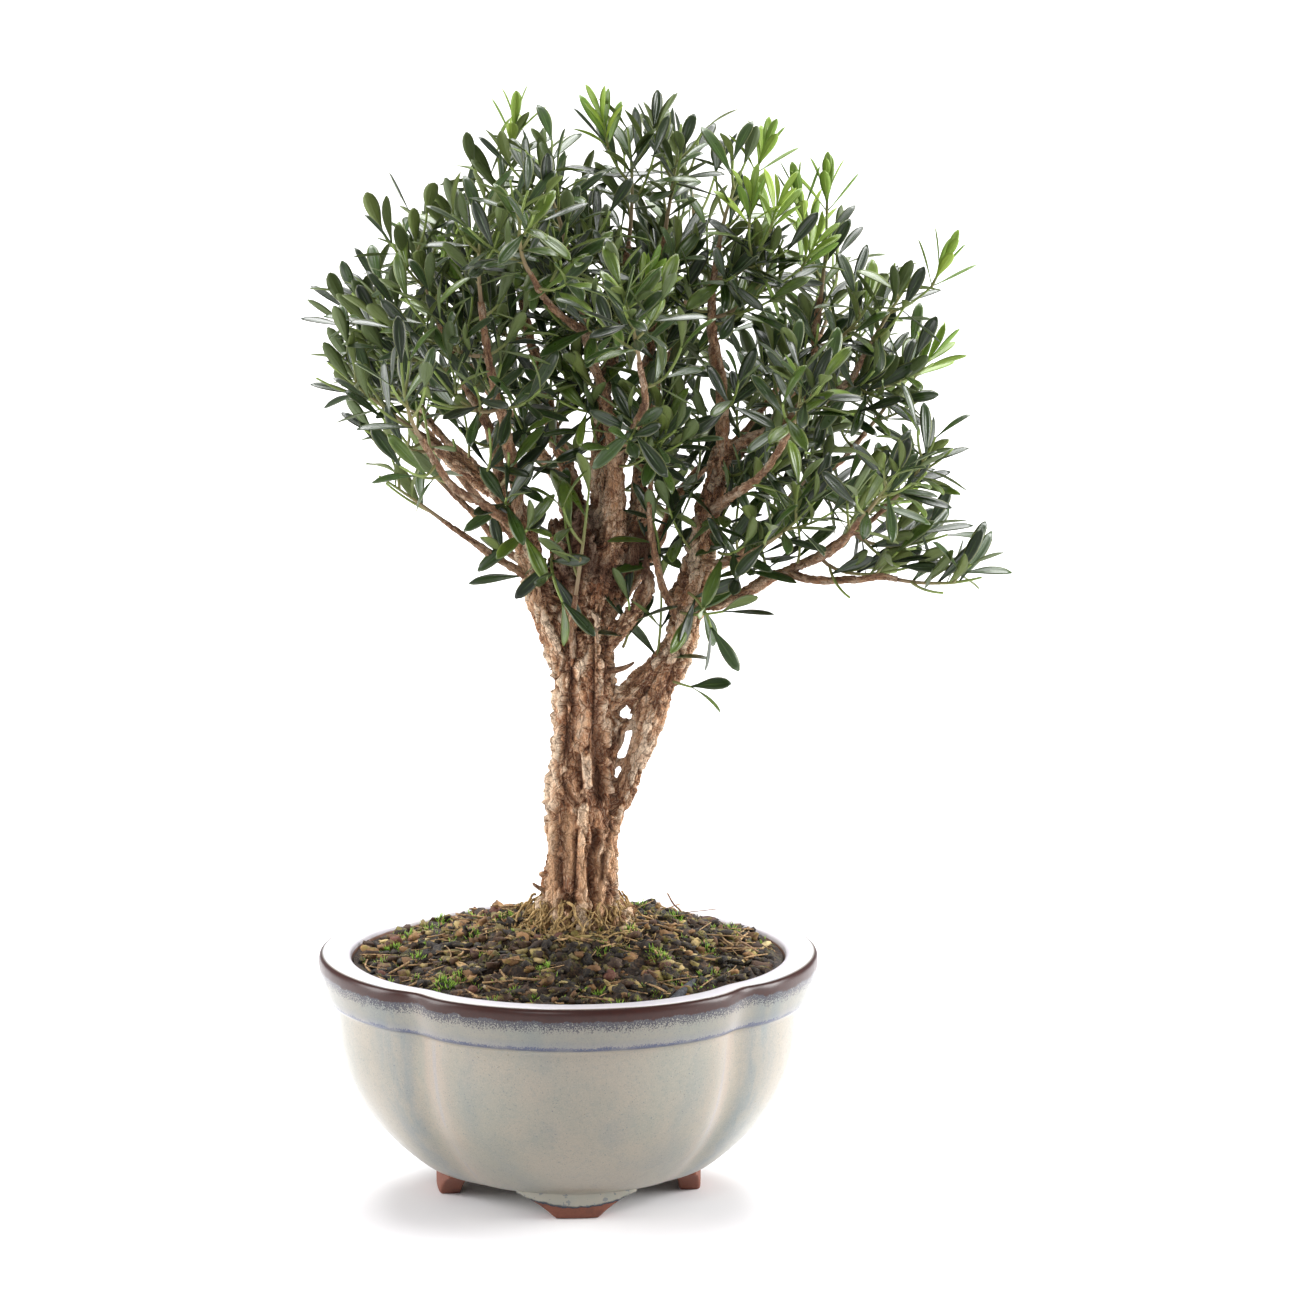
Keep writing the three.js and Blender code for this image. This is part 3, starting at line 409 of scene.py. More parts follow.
def foot_finish():
    """Reddish bare clay below the glaze line, a dark blue edge on it, and celadon above."""
    shade, place = new_finish("foot_clay")
    height = place.node("SeparateXYZ", {0: place}, output="Z") * 1000
    wave = place.noise(260, 3, 0.6) * 2.4 - 1.2
    over = height - shade.mark("glaze_line") + wave
    grit = place.noise(1100, 3, 0.7)
    clay = grit.blend(ink(132, 80, 62), ink(98, 58, 44)).painted(
        (place.noise(120, 2).between(0.5, 0.7), 0.5, ink(82, 50, 42)))
    glaze = place.noise(300, 2).blend(ink(164, 156, 140), ink(144, 148, 138)).painted(
        (place.noise(520, 1).between(0.64, 0.68), 0.5, ink(66, 80, 104)),
        (over.between(1.3, 0.3), 1, ink(40, 46, 60)))
    glazed = over.between(-0.1, 0.1)
    base = glazed.blend(clay, glaze)
    relief = grit * 0.12 + glazed * 0.25
    return shade.coat(base_color=base, roughness=0.82 - 0.6 * glazed, normal=relief.bump(1.0, 0.8))


feet_points, feet_faces, glaze_line = pot_feet()
feet = new_piece("pot_feet", feet_points, feet_faces, foot_finish(), glaze_line=glaze_line)
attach(feet, "root")
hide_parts("pot")

# Drain screen: a square of black plastic mesh over the drain hole, under the soil. The frame's own
# solid is its real shape, so it only gets the dull, slightly scuffed finish of moulded plastic.


def screen_finish():
    """Black plastic, greyer where it is scuffed."""
    shade, place = new_finish("screen_plastic")
    scuff = place.noise(400, 4, 0.7)
    base = scuff.between(0.5, 0.8).blend(ink(30, 33, 35), ink(66, 68, 66))
    return shade.coat(base_color=base, roughness=0.5 + 0.2 * scuff, normal=scuff.bump(0.05, 0.5))


bpy.data.objects["drain_screen"].material_slots[0].material = screen_finish()

# Soil: damp humus and fine gravel that fills the pot to just under the rim and rises to the trunk.
# Its top is one crumbly surface on the frame's own mound, and it reaches the pot's inside wall.
STUMP_X = 5.7
SOIL_EDGE = 94
SOIL_CROWN = 109
SOIL_GRAIN = 1.6
STUMP_RADIUS = 22
RIM_OPENING = 87
SOIL_AROUND = 420
SOIL_RADII = np.concatenate([np.linspace(0.6, 78, 118), np.linspace(78.6, 85.9, 12)])
SOIL_WALL = (
    # radius, height and depth of the folds down the pot's inside, over its floor and the drain screen
    [85.9, 91, 0.014], [85.5, 87, 0.014], [84.6, 79, 0.014], [81.8, 60, 0.014], [78, 45.5, 0.014],
    [65.4, 27.6, 0.01], [49.4, 17.7, 0.004], [26, 17.7, 0.002], [25, 19, 0.001], [0.6, 19, 0],
)
SLOPES = unit(np.random.default_rng(11).normal(size=(1021, 3)))
CORNERS = np.array([[i >> 2 & 1, i >> 1 & 1, i & 1] for i in range(8)])


def drawn(cell, seed):
    """Which of SLOPES a whole cell draws: its coordinates times large primes, joined bit by bit."""
    x, y, z = np.moveaxis(cell, -1, 0)
    return (x * 73856093 ^ y * 19349663 ^ z * 83492791 ^ (seed + 1) * 2654435) % len(SLOPES)


def noise(points, seed):
    """Gradient noise from 0 to 1: each corner of the unit cube round a point has a random slope, and
    the eight ramps are weighted by 6t^5 - 15t^4 + 10t^3 along each axis."""
    cell = np.floor(points).astype(np.int64)
    part = points - cell
    ease = part ** 3 * (part * (part * 6 - 15) + 10)
    total = 0
    for corner in CORNERS:
        weight = np.prod(np.where(corner, ease, 1 - ease), axis=-1)
        total = total + weight * ((part - corner) * SLOPES[drawn(cell + corner, seed)]).sum(-1)
    return 0.5 + 0.8 * total


def soil_height(x, y):
    """The frame's mound and its coarse grain, with crumbs of three sizes on it that die out under the
    trunk and at the pot's wall."""
    from_trunk = np.hypot(x - STUMP_X, y)
    mound = SOIL_EDGE + (SOIL_CROWN - SOIL_EDGE) * (1 - smooth(STUMP_RADIUS, RIM_OPENING, from_trunk))
    grain = (np.sin(x * 0.31 + 1.3) * np.cos(y * 0.27)
             + 0.7 * np.sin(x * 0.13 - y * 0.71) * np.cos(x * 0.53 + y * 0.19))
    settle = smooth(STUMP_RADIUS + 1, STUMP_RADIUS + 9, from_trunk)
    flat = np.stack([x, y, np.zeros_like(x)], -1)
    crumbs = (2.6 * (noise(flat / 7, 1) - 0.5) + 2.2 * (noise(flat / 3.2, 2) - 0.5)
              + 1.3 * (noise(flat / 1.5, 3) - 0.5))
    edge = 1 - smooth(80, 86, np.hypot(x, y))
    return mound + (SOIL_GRAIN * grain * settle + crumbs) * edge


def soil_bed():
    """Rings of the lobed outline, raised by soil_height, then down the pot's wall and back under."""
    angle = np.linspace(0, 2 * np.pi, SOIL_AROUND, endpoint=False)
    top = lobe(angle[:, None], 0.014 * SOIL_RADII / 86) * SOIL_RADII
    x, y = top * np.cos(angle)[:, None], top * np.sin(angle)[:, None]
    radius, height, depth = np.array(SOIL_WALL).T
    wall = lobe(angle[:, None], depth) * radius
    across = np.concatenate([x, wall * np.cos(angle)[:, None]], 1)
    deep = np.concatenate([y, wall * np.sin(angle)[:, None]], 1)
    up = np.concatenate([soil_height(x, y), np.broadcast_to(height, wall.shape)], 1)
    columns = across.shape[1]
    faces = grid_faces(SOIL_AROUND, columns, closed=True)
    faces = faces[faces[:, 0] % columns < columns - 1]
    ring = np.arange(SOIL_AROUND) * columns
    ends = np.stack([ring, ring[::-1] + columns - 1])
    return np.stack([across, deep, up], -1).reshape(-1, 3), [faces[:, ::-1], ends]


def soil_finish():
    """Near-black damp humus with brown fibre and a little olive growth on the crumbs."""
    shade, place = new_finish("damp_humus")
    crumb = place.noise(520, 5, 0.7)
    base = crumb.ramp((0.3, ink(18, 12, 8)), (0.5, ink(42, 29, 19)), (0.66, ink(88, 66, 42)),
                      (0.8, ink(150, 126, 84)))
    growth = place.noise(70, 3, 0.6).between(0.52, 0.66) * place.noise(700, 2).between(0.4, 0.6)
    base = base.painted((growth, 0.55, ink(94, 96, 42)))
    damp = place.noise(45, 2).between(0.4, 0.65)
    relief = crumb * 0.8 + place.noise(1600, 3, 0.8) * 0.3
    return shade.coat(base_color=base, roughness=0.95 - 0.25 * damp, normal=relief.bump(1.0, 0.9))


soil_points, soil_faces = soil_bed()
bed = new_piece("soil_bed", soil_points, soil_faces, soil_finish())
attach(bed, "root")
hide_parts("soil")

# Gravel, bark and charcoal: loose bits of potting mix that lie on the soil and half in it. Each is a
# lump of a few faces with its own size, tilt and tone, and each kind is one piece.
STONE_SIDES, STONE_RINGS = 7, 4
STONE_TILT = 0.5                 # usual tilt of a stone, in radians
SOIL_REACH = 83


def scattered(count, near, far, seed):
    """Random places on the soil, evenly by area, from near to far millimetres off the trunk."""
    rng = np.random.default_rng(seed)
    radius = SOIL_REACH * np.sqrt(rng.random(count * 3))
    angle = 2 * np.pi * rng.random(count * 3)
    x, y = radius * np.cos(angle) * lobe(angle, 0.014), radius * np.sin(angle) * lobe(angle, 0.014)
    from_trunk = np.hypot(x - STUMP_X, y)
    kept = np.flatnonzero((from_trunk > near) & (from_trunk < far))[:count]
    return x[kept], y[kept], rng


def turned_about(axis, angle, vectors):
    """Rodrigues' formula: the part along the axis stays and the rest turns by the angle."""
    c, s = np.cos(angle)[..., None], np.sin(angle)[..., None]
    along = (axis * vectors).sum(-1, keepdims=True)
    return vectors * c + np.cross(axis, vectors) * s + axis * along * (1 - c)


def lumps(x, y, size, shape, sunk, rng, roughness):
    """One rough lump at each place: rings from pole to pole, stretched by shape, turned any way round
    the vertical, tilted a little, and let into the soil by a share of its own height."""
    ring = np.linspace(0, np.pi, STONE_RINGS + 2)[1:-1]
    side = np.linspace(0, 2 * np.pi, STONE_SIDES, endpoint=False)
    ball = np.stack([np.outer(np.sin(ring), np.cos(side)), np.outer(np.sin(ring), np.sin(side)),
                     np.repeat(np.cos(ring)[:, None], STONE_SIDES, 1)], -1).reshape(-1, 3)
    ball = np.concatenate([ball, [[0, 0, 1], [0, 0, -1]]])
    count = len(x)
    squared = np.sign(ball) * np.abs(ball) ** 0.7
    points = squared[None] * (1 + roughness * (rng.random((count, len(ball), 1)) - 0.5) * 2)
    scale = size[:, None] / 2 * (np.array(shape) * (1 + 0.5 * (rng.random((count, 3)) - 0.5)))
    points = points * scale[:, None]
    lean = unit(np.concatenate([rng.normal(size=(count, 2)), np.zeros((count, 1))], 1))[:, None]
    points = turned_about(lean, STONE_TILT * rng.normal(size=(count, 1)), points)
    points = turned_about(np.array([0, 0, 1.0]), 2 * np.pi * rng.random((count, 1)), points)
    seat = soil_height(x, y) + scale[:, 2] * (1 - 2 * sunk)
    points = points + np.stack([x, y, seat], -1)[:, None]
    quads = grid_faces(STONE_RINGS, STONE_SIDES)[:, ::-1]
    first = np.arange(STONE_SIDES)
    second = (first + 1) % STONE_SIDES
    last = first + STONE_SIDES * (STONE_RINGS - 1)
    tips = np.concatenate([np.stack([first, second, np.full(STONE_SIDES, len(ball) - 2)], -1),
                           np.stack([second + last[0], last, np.full(STONE_SIDES, len(ball) - 1)], -1)])
    faces = [repeated(part, count, len(ball)) for part in (quads, tips)]
    return points.reshape(-1, 3), faces, np.repeat(rng.random(count), len(ball))


def stone_finish(name, *stops):
    """Stones of one kind: each takes a colour of its own from the stops, under soil and lichen."""
    shade, place = new_finish(name)
    grit = place.noise(900, 4, 0.7)
    base = shade.mark("tone").ramp(*stops).painted(
        (place.noise(260, 3, 0.6).between(0.48, 0.68), 0.65, ink(34, 24, 14)),
        (place.noise(150, 4, 0.7).between(0.54, 0.64), 0.6, ink(126, 118, 46)),
        (grit.between(0.5, 0.75), 0.2, ink(190, 168, 116)))
    return shade.coat(base_color=base, roughness=0.8, normal=grit.bump(0.4, 0.8))


LOOSE = {
    # kind: count, least and most length, stretch, share sunk, roughness, colours
    "bark_crumbs": (2100, 1.6, 7.5, (1, 0.6, 0.42), 0.3, 0.42,
                    ((0, ink(12, 8, 5)), (0.5, ink(32, 20, 12)), (0.78, ink(70, 44, 25)),
                     (1, ink(150, 112, 68)))),
    "gravel": (420, 2, 7.5, (1, 0.5, 0.34), 0.42, 0.36,
               ((0, ink(92, 84, 48)), (0.4, ink(136, 120, 70)), (0.75, ink(176, 152, 98)),
                (1, ink(206, 188, 140)))),
    "pale_stones": (26, 2.6, 5.4, (1, 0.75, 0.6), 0.4, 0.2,
                    ((0, ink(168, 152, 122)), (0.5, ink(196, 180, 146)), (1, ink(170, 130, 98)))),
    "red_stones": (30, 3.2, 7, (1, 0.85, 0.75), 0.34, 0.2,
                   ((0, ink(72, 38, 28)), (0.6, ink(98, 54, 40)), (1, ink(74, 50, 42)))),
}
for kind, (count, least, most, shape, sunk, roughness, stops) in LOOSE.items():
    x, y, rng = scattered(count, 19, 90, len(kind) + count)
    size = least + (most - least) * rng.random(len(x)) ** 1.7
    points, faces, tone = lumps(x, y, size, shape, sunk, rng, roughness)
    loose = new_piece(kind, points, faces, stone_finish(kind + "_finish", *stops), tone=tone)
    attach(loose, "root")

# Moss: bright cushions and single tufts of green shoots between the stones, and a duller olive felt
# close round the trunk. Every shoot is a thin three-sided spike on a low dome.
CUSHIONS = (
    # place and radius of each bright cushion
    (-71, 7, 3.4), (-64, 23, 4.4), (-52, 55, 3.6), (-49, -57, 5.4), (-44, -50, 4.4), (-23, 11, 3.6),
    (36, -38, 5), (43, 17, 3.8), (28, 31, 3.4), (19.5, -80, 3.6), (13, -68, 3), (-57, 38, 3.2),
    (47, 42, 3.2), (-36, 46, 3.4), (-22, 62, 3), (62, 8, 3.2), (55, -20, 3), (-60, -22, 3.4),
    (-38, -8, 3), (14, -40, 2.8), (-8, -52, 2.8), (-30, -74, 3), (44, -64, 3), (66, 26, 3.2),
    (0, 70, 4), (26, 68, 3.6), (-10, 74, 3.4), (40, 60, 4), (-74, -14, 2.6), (24, -20, 3.2),
)
SPIKE_SHARE = 3.2                # shoots for each square millimetre of a cushion's radius squared


def spikes(feet, heading, length, width):
    """Thin pyramids: three base points round each foot and one tip along its heading."""
    side = unit(np.cross(heading, [0.31, 0.17, 0.93]))
    other = np.cross(heading, side)
    a = np.radians([0, 120, 240])[:, None]
    ring = (side[:, None] * np.cos(a) + other[:, None] * np.sin(a)) * width[:, None, None]
    points = np.concatenate([feet[:, None] + ring, (feet + heading * length[:, None])[:, None]], 1)
    one = np.array([[0, 1, 3], [1, 2, 3], [2, 0, 3], [2, 1, 0]])
    return points.reshape(-1, 3), repeated(one, len(feet), 4), np.tile([0.0, 0, 0, 1], len(feet))


def moss_tufts(places, height, lean, seed):
    """Shoots stand on a low dome at each place and lean outwards towards its edge."""
    rng = np.random.default_rng(seed)
    x, y, radius = np.array(places, float).T
    count = np.maximum(6, SPIKE_SHARE * radius ** 2).astype(int)
    owner = np.repeat(np.arange(len(x)), count)
    out = np.sqrt(rng.random(len(owner)))
    angle = 2 * np.pi * rng.random(len(owner))
    aside = np.stack([np.cos(angle), np.sin(angle)], -1) * out[:, None]
    foot = np.stack([x[owner], y[owner]], -1) + aside * radius[owner, None]
    ground = soil_height(foot[:, 0], foot[:, 1])
    dome = 0.45 * radius[owner] * (1 - out ** 2)
    feet = np.column_stack([foot, ground + dome - 0.4])
    heading = unit(np.column_stack([aside * lean + 0.25 * rng.normal(size=aside.shape), np.ones(len(owner))]))
    length = height * (0.6 + 0.8 * rng.random(len(owner))) * (1.1 - 0.5 * out)
    width = 0.2 + 0.12 * rng.random(len(owner))
    points, faces, tip = spikes(feet, heading, length, width)
    return points, faces, tip, np.repeat(rng.random(len(owner)), 4)


def moss_finish(name, shadow, body_colour, tip_colour):
    """Dark at the foot of each shoot and light at its tip, with some shoots duller than others."""
    shade, place = new_finish(name)
    base = shade.mark("tip").ramp((0, shadow), (0.45, body_colour), (1, tip_colour))
    base = (shade.mark("tone") * 0.35).blend(base, body_colour)
    return shade.coat(base_color=base, roughness=0.65, normal=place.noise(2400, 2).bump(0.1, 0.5))


LIME_MOSS = moss_finish("lime_moss", ink(54, 84, 20), ink(122, 166, 40), ink(176, 206, 78))
points, faces, tip, tone = moss_tufts(CUSHIONS, 3.0, 0.9, 21)
cushions = new_piece("moss_cushions", points, [faces], LIME_MOSS, tip=tip, tone=tone)
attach(cushions, "root")

x, y, rng = scattered(240, 19, 88, 77)
small = np.column_stack([x, y, 0.7 + 1.1 * rng.random(len(x))])
points, faces, tip, tone = moss_tufts(small, 2.4, 1.0, 22)
tufts = new_piece("moss_tufts", points, [faces], LIME_MOSS, tip=tip, tone=tone)
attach(tufts, "root")

OLIVE_MOSS = moss_finish("olive_moss", ink(50, 44, 22), ink(106, 102, 50), ink(150, 146, 84))
x, y, rng = scattered(420, 17, 84, 78)
fading = np.exp(-(np.hypot(x, y) - 20) / 60)
felt_places = np.column_stack([x, y, 1.0 + 2.0 * rng.random(len(x)) * fading])
points, faces, tip, tone = moss_tufts(felt_places, 1.5, 1.4, 23)
felt = new_piece("moss_felt", points, [faces], OLIVE_MOSS, tip=tip, tone=tone)
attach(felt, "root")

# Wood: trunk and limbs, which grew as one. Thick parts are overlapping tubes fused into a skin, the
# trunk's and the crown's, and corky bark is raised on it: long plates with deep cracks between them.
TRUNK = [
    # x, y, z and radius up the trunk
    [STUMP_X, 0, 80, STUMP_RADIUS], [STUMP_X, 0, 106, STUMP_RADIUS], [5.2, 0, 111, 18.6], [4.6, 0, 120, 15.8],
    [5.2, 0, 132, 14.9], [5.6, 1, 147.6, 14.5], [4.6, 1, 168.2, 12.3], [5.4, 1, 184.8, 11.6],
    [6.1, 1, 200.5, 11.6], [6.1, 1, 216.1, 12.3], [7.1, 1, 229.8, 9.3],
]
LIMBS = {
    # name: x, y, z and radius along the limb, and the shares of it where leafy sprays leave
    "left": ([[0.2, 0, 214.2, 7.8], [-9.1, -3.9, 237.7, 6.2], [-13.9, -7.8, 257.3, 5.3],
        [-19.1, -11.7, 275.9, 4.8], [-27.8, -13.7, 287.6, 4.2], [-38.9, -17.6, 297.4, 3.6],
        [-46, -19.6, 303, 3.2], [-53.5, -19.6, 309, 2.5], [-61, -18.6, 314.5, 1.4]], (1, 0.86, 0.7)),
    "left_upright": ([[-19.1, -12.7, 276.8, 2.9], [-21.3, -23.5, 298.4, 2.5], [-25.2, -31.3, 319.9, 2.2],
        [-29.1, -35.2, 335.6, 1.9], [-32.1, -39.2, 354.2, 1.6],
        [-34, -41.1, 370.8, 1.3]], (1, 0.74, 0.48)),
    "left_high": ([[-26.2, -12.7, 285.7, 2.7], [-29.1, -7.8, 307.2, 2.3], [-38, -5.9, 324.8, 2.1],
        [-43.3, -3.9, 337.5, 1.8], [-47.5, -2, 345.5, 1.5], [-51, 0, 353.5, 1.2]], (1, 0.8, 0.58)),
    "leader": ([[8.1, 1, 218.1, 7.8], [12.5, 2, 240.6, 6.3], [13, 2.9, 265.1, 5.5],
        [13.9, 3.9, 289.6, 4.8], [13, 3.9, 305.2, 4.1], [13.5, 3.9, 321.9, 3.4], [16.9, 3.9, 335.6, 2.9],
        [21.8, 4.9, 362, 2.1], [23, 5.6, 375, 1.6], [24.4, 6.4, 386.5, 1.3]], (1, 0.86, 0.72)),
    "middle_left": ([[10, 3.9, 255.3, 4.1], [1.6, 7.8, 288.6, 3.5], [-4.7, 11.7, 303.3, 3.2],
        [-8.6, 14.7, 318.9, 2.7], [-13.9, 17.6, 339.5, 2.3], [-18.4, 19.6, 361, 1.9],
        [-22, 21.2, 373, 1.5], [-23.6, 22.8, 384, 1.2]], (1, 0.8, 0.6)),
    "middle_front": ([[13, -1, 255.3, 3.9], [19.5, -9.8, 283.7, 3.3], [18.3, -13.7, 305.2, 2.8],
        [15.2, -15.7, 325.8, 2.3], [8.8, -17.6, 346.4, 2], [4.1, -19.6, 366.9, 1.7], [1, -20.4, 379, 1.4],
        [-0.4, -21.2, 388, 1.2]], (1, 0.82, 0.62)),
    "middle_right": ([[13.9, 3.9, 249.4, 4.3], [26.7, 5.9, 272.9, 3.9], [29.1, 7.8, 292.5, 3.2],
        [30.6, 8.8, 313.1, 2.7], [31.9, 9.8, 332.6, 2.3], [34.7, 10.8, 357.1, 2], [36, 11.4, 373, 1.5],
        [38.4, 12.2, 387, 1.2]], (1, 0.82, 0.64)),
    "dead_stub": ([[12, -2.9, 220, 4.6], [21.4, -5.9, 231.4, 3.8], [28.6, -8.8, 241.6, 3.4],
        [31.4, -9.8, 253.4, 2.3], [31, -9.8, 263, 0.7]], ()),
    "right_lower_root": ([[7.1, -2, 135.9, 5.9], [21.6, -2, 160.3, 4.9], [27.2, -2, 177, 4.6],
        [32.5, -2, 190.7, 5.2], [38.4, -1, 207.3, 5.7], [43.8, 0, 221, 6.1], [47.8, 1, 236.7, 6.7],
        [51.4, 2, 253.4, 6], [54.1, 2.9, 269, 5.5], [58, 2.9, 285.7, 4.8], [61.3, 2.9, 299.4, 4.3],
        [62.9, 2.9, 306.2, 2.9]], ()),
    "right_upper_root": ([[8.1, 0, 193.6, 4.1], [16.9, 0, 198.5, 4.1], [28.6, 0, 207.3, 4.8],
        [41.3, 0, 220.1, 5.3]], ()),
    "right_upright": ([[61.9, 2, 300.3, 3.1], [61.3, 0, 322.9, 2.6], [58.6, -2.9, 343.4, 2.3],
        [56.8, -4.9, 361, 1.9], [58, -5.6, 374, 1.5], [60, -5.9, 386.5, 1.2]], (1, 0.78, 0.55)),
    "right_outer": ([[61.9, 2.9, 300.3, 2.9], [72.7, 5.9, 306.2, 2.4], [82.5, 8.8, 309.2, 2.2],
        [90.3, 10.8, 314, 2], [97.1, 11.7, 328.7, 1.8], [98.4, 12.3, 345.5, 1.6],
        [100.6, 13.2, 361.5, 1.3]], (1, 0.8, 0.58)),
    "right_far": ([[89.3, 10.3, 313.6, 2.2], [103, 3.9, 322.9, 1.7], [112.5, 0.6, 331, 1.4],
        [118, -1.2, 341.5, 1.2]], (1, 0.62)),
    "right_low": ([[48.2, 1, 238.7, 4.5], [57.3, -2.9, 240.2, 3.6], [68.5, -5.9, 244.5, 2.8],
        [79.5, -7.8, 251.4, 2.3], [90.8, -9.8, 256.3, 2.1], [100.1, -11.7, 262.2, 1.9],
        [107.5, -12.7, 268, 1.7], [118.7, -14.7, 275.4, 1.5],
        [127.5, -15.7, 283.7, 1.2]], (1, 0.82, 0.62)),
    "right_lowest": ([[86.4, -8.8, 254.3, 2.1], [97.5, -15.7, 252.9, 1.8], [113.5, -21.5, 254.3, 1.6],
        [124.6, -24.5, 256.3, 1.5], [131, -25.6, 255.2, 1.3]], (1,)),
    "right_back": ([[50.6, 2.9, 250.4, 2.7], [68.5, 11.7, 257.8, 2.1], [79.5, 17.6, 268, 1.9],
        [93.2, 21.5, 282.7, 1.6], [108.9, 25.5, 292.5, 1.4], [118.7, 29.4, 303.3, 1.2]], (1, 0.66)),
    "behind_right": ([[14.9, 3.9, 231.8, 3.1], [35.5, 15.7, 260.7, 2.4], [44.3, 21.5, 279.8, 2.2],
        [55.7, 27.4, 290.9, 1.9], [68.5, 33.3, 300.3, 1.6], [80.5, 39.2, 315, 1.4],
        [91.3, 43.1, 332.6, 1.2]], (1, 0.76)),
    "left_low": ([[-11.5, -5.9, 249.4, 2], [-26.2, -13.7, 259.8, 1.7], [-36, -19.6, 268, 1.5],
        [-44.4, -23.5, 274.9, 1.3], [-49.5, -24.6, 279, 1.1]], (1,)),
    "left_short": ([[-12.5, -5.9, 254.3, 1.8], [-26.2, -2.9, 263.1, 1.5], [-33.4, 0, 272, 1.4],
        [-41.4, 3.9, 279.2, 1.3], [-47.4, 5.9, 284.7, 1.1]], (1,)),
    "trunk_shoot": ([[2.2, -7.8, 220.1, 1.6], [1.2, -15.7, 233.8, 1.3], [3.2, -18.6, 247.5, 1.1]], (1,)),
    "fork_shoot": ([[44.3, -2, 231.8, 2], [36.5, -11.7, 252.9, 1.6], [32.5, -17.6, 277.8, 1.4],
        [33.1, -19.6, 292.5, 1.1]], (1,)),
    "right_shoot": ([[52.1, 0, 256.3, 1.9], [66.5, -17.6, 260.9, 1.4], [74.6, -25.5, 267.1, 1.1]], (1,)),
    "back_left": ([[13, 3.9, 255.3, 3.9], [3.2, 21.5, 274.9, 3.1], [-10.5, 39.2, 292.5, 2.5],
        [-28.2, 56.8, 310.1, 2], [-42, 67.5, 326, 1.6], [-48, 75, 341, 1.2]], (1, 0.7)),
    "back_right": ([[13.9, 4.9, 274.9, 3.3], [20.8, 25.5, 292.5, 2.6], [32.5, 45, 310.1, 2.2],
        [42.3, 60.7, 331.7, 1.8], [48, 71, 352, 1.5], [50, 76.5, 373, 1.2]], (1, 0.66)),
    "back_outer": ([[56, 3.9, 278.8, 3.1], [63.9, 23.5, 290.6, 2.4], [77.6, 45, 300.3, 2],
        [91.3, 62.7, 314, 1.6], [101.1, 74.4, 333.6, 1.2]], (1,)),
    "back_low": ([[5.1, 3.9, 224, 3.9], [-6.6, 25.5, 243.6, 2.6], [-24.2, 45, 259.2, 2.1],
        [-41.9, 60.7, 276.8, 1.6], [-57.5, 70.5, 296.4, 1.2]], (1,)),
    "left_back": ([[-24.2, -11.7, 282.7, 2.7], [-37, 7.8, 293.5, 2.2], [-50, 25, 302, 1.8],
        [-59, 34, 313, 1.5], [-65, 40, 326, 1.2]], (1, 0.66)),
    "left_front": ([[-17.4, -10.8, 271, 2.6], [-30.1, -35.2, 285.7, 2], [-45.8, -54.8, 300.3, 1.6],
        [-57.5, -70.5, 321.9, 1.2]], (1,)),
    "middle_out": ([[18.3, -12.7, 303.3, 2.3], [25.7, -37.2, 318, 1.9], [30.6, -56.8, 333.6, 1.6],
        [28.6, -72.4, 353.2, 1.2]], (1,)),
    "right_front": ([[56, 2, 276.8, 2.7], [65.8, -21.5, 288.6, 2.1], [77.6, -43.1, 302.3, 1.7],
        [87.4, -60.7, 321.9, 1.2]], (1,)),
    "low_front": ([[94.2, -9.8, 258.2, 2], [106, -33.3, 269, 1.5], [115.8, -50.9, 284.7, 1.2]], (1,)),
    "high_front": ([[7.1, -18.1, 353.2, 1.9], [-6.6, -39.2, 368.9, 1.4],
        [-14.5, -52.9, 384.5, 1.2]], (1,)),
}
BRIDGES = (
    # crumbly remains of wood between the trunk and the right-hand limb, which leave three small holes
    [[13, -1, 196, 3], [20, -1.5, 202, 4.2], [30, -2, 200.4, 3.1]],
    [[13, -1, 188, 3.4], [20, -2, 190.4, 2.9], [27, -2, 191.2, 2.1]],
    [[28.2, -2, 190, 2.3], [28.7, -2, 195, 3.8], [27.2, -2, 203, 4.3]],
    [[15, -1.5, 174.6, 2.4], [20.5, -1.5, 175.2, 1.8], [25, -2, 175.4, 2.4]],
    [[16, -1, 206, 3.4], [16.4, -1, 198, 4.4], [17.8, -1, 193, 3.1], [19.6, -1, 187.4, 3.4],
     [17.9, -1.5, 182.6, 3.2], [17, -1.5, 178, 2.2], [16.6, -1.5, 171, 2.2], [16.4, -1.5, 165, 2.5],
     [17, -1.5, 157, 3]],
    [[25.4, -1.5, 178, 2.2], [24.4, -1.5, 170, 2.2], [22.2, -1.5, 163.6, 2.8], [21, -1.5, 161, 3]],
    # the knot on the trunk's left shoulder
    [[-5, -3, 225, 2.8], [-9.5, -3, 229, 2.2], [-11.8, -3, 231.8, 1.4]],
)
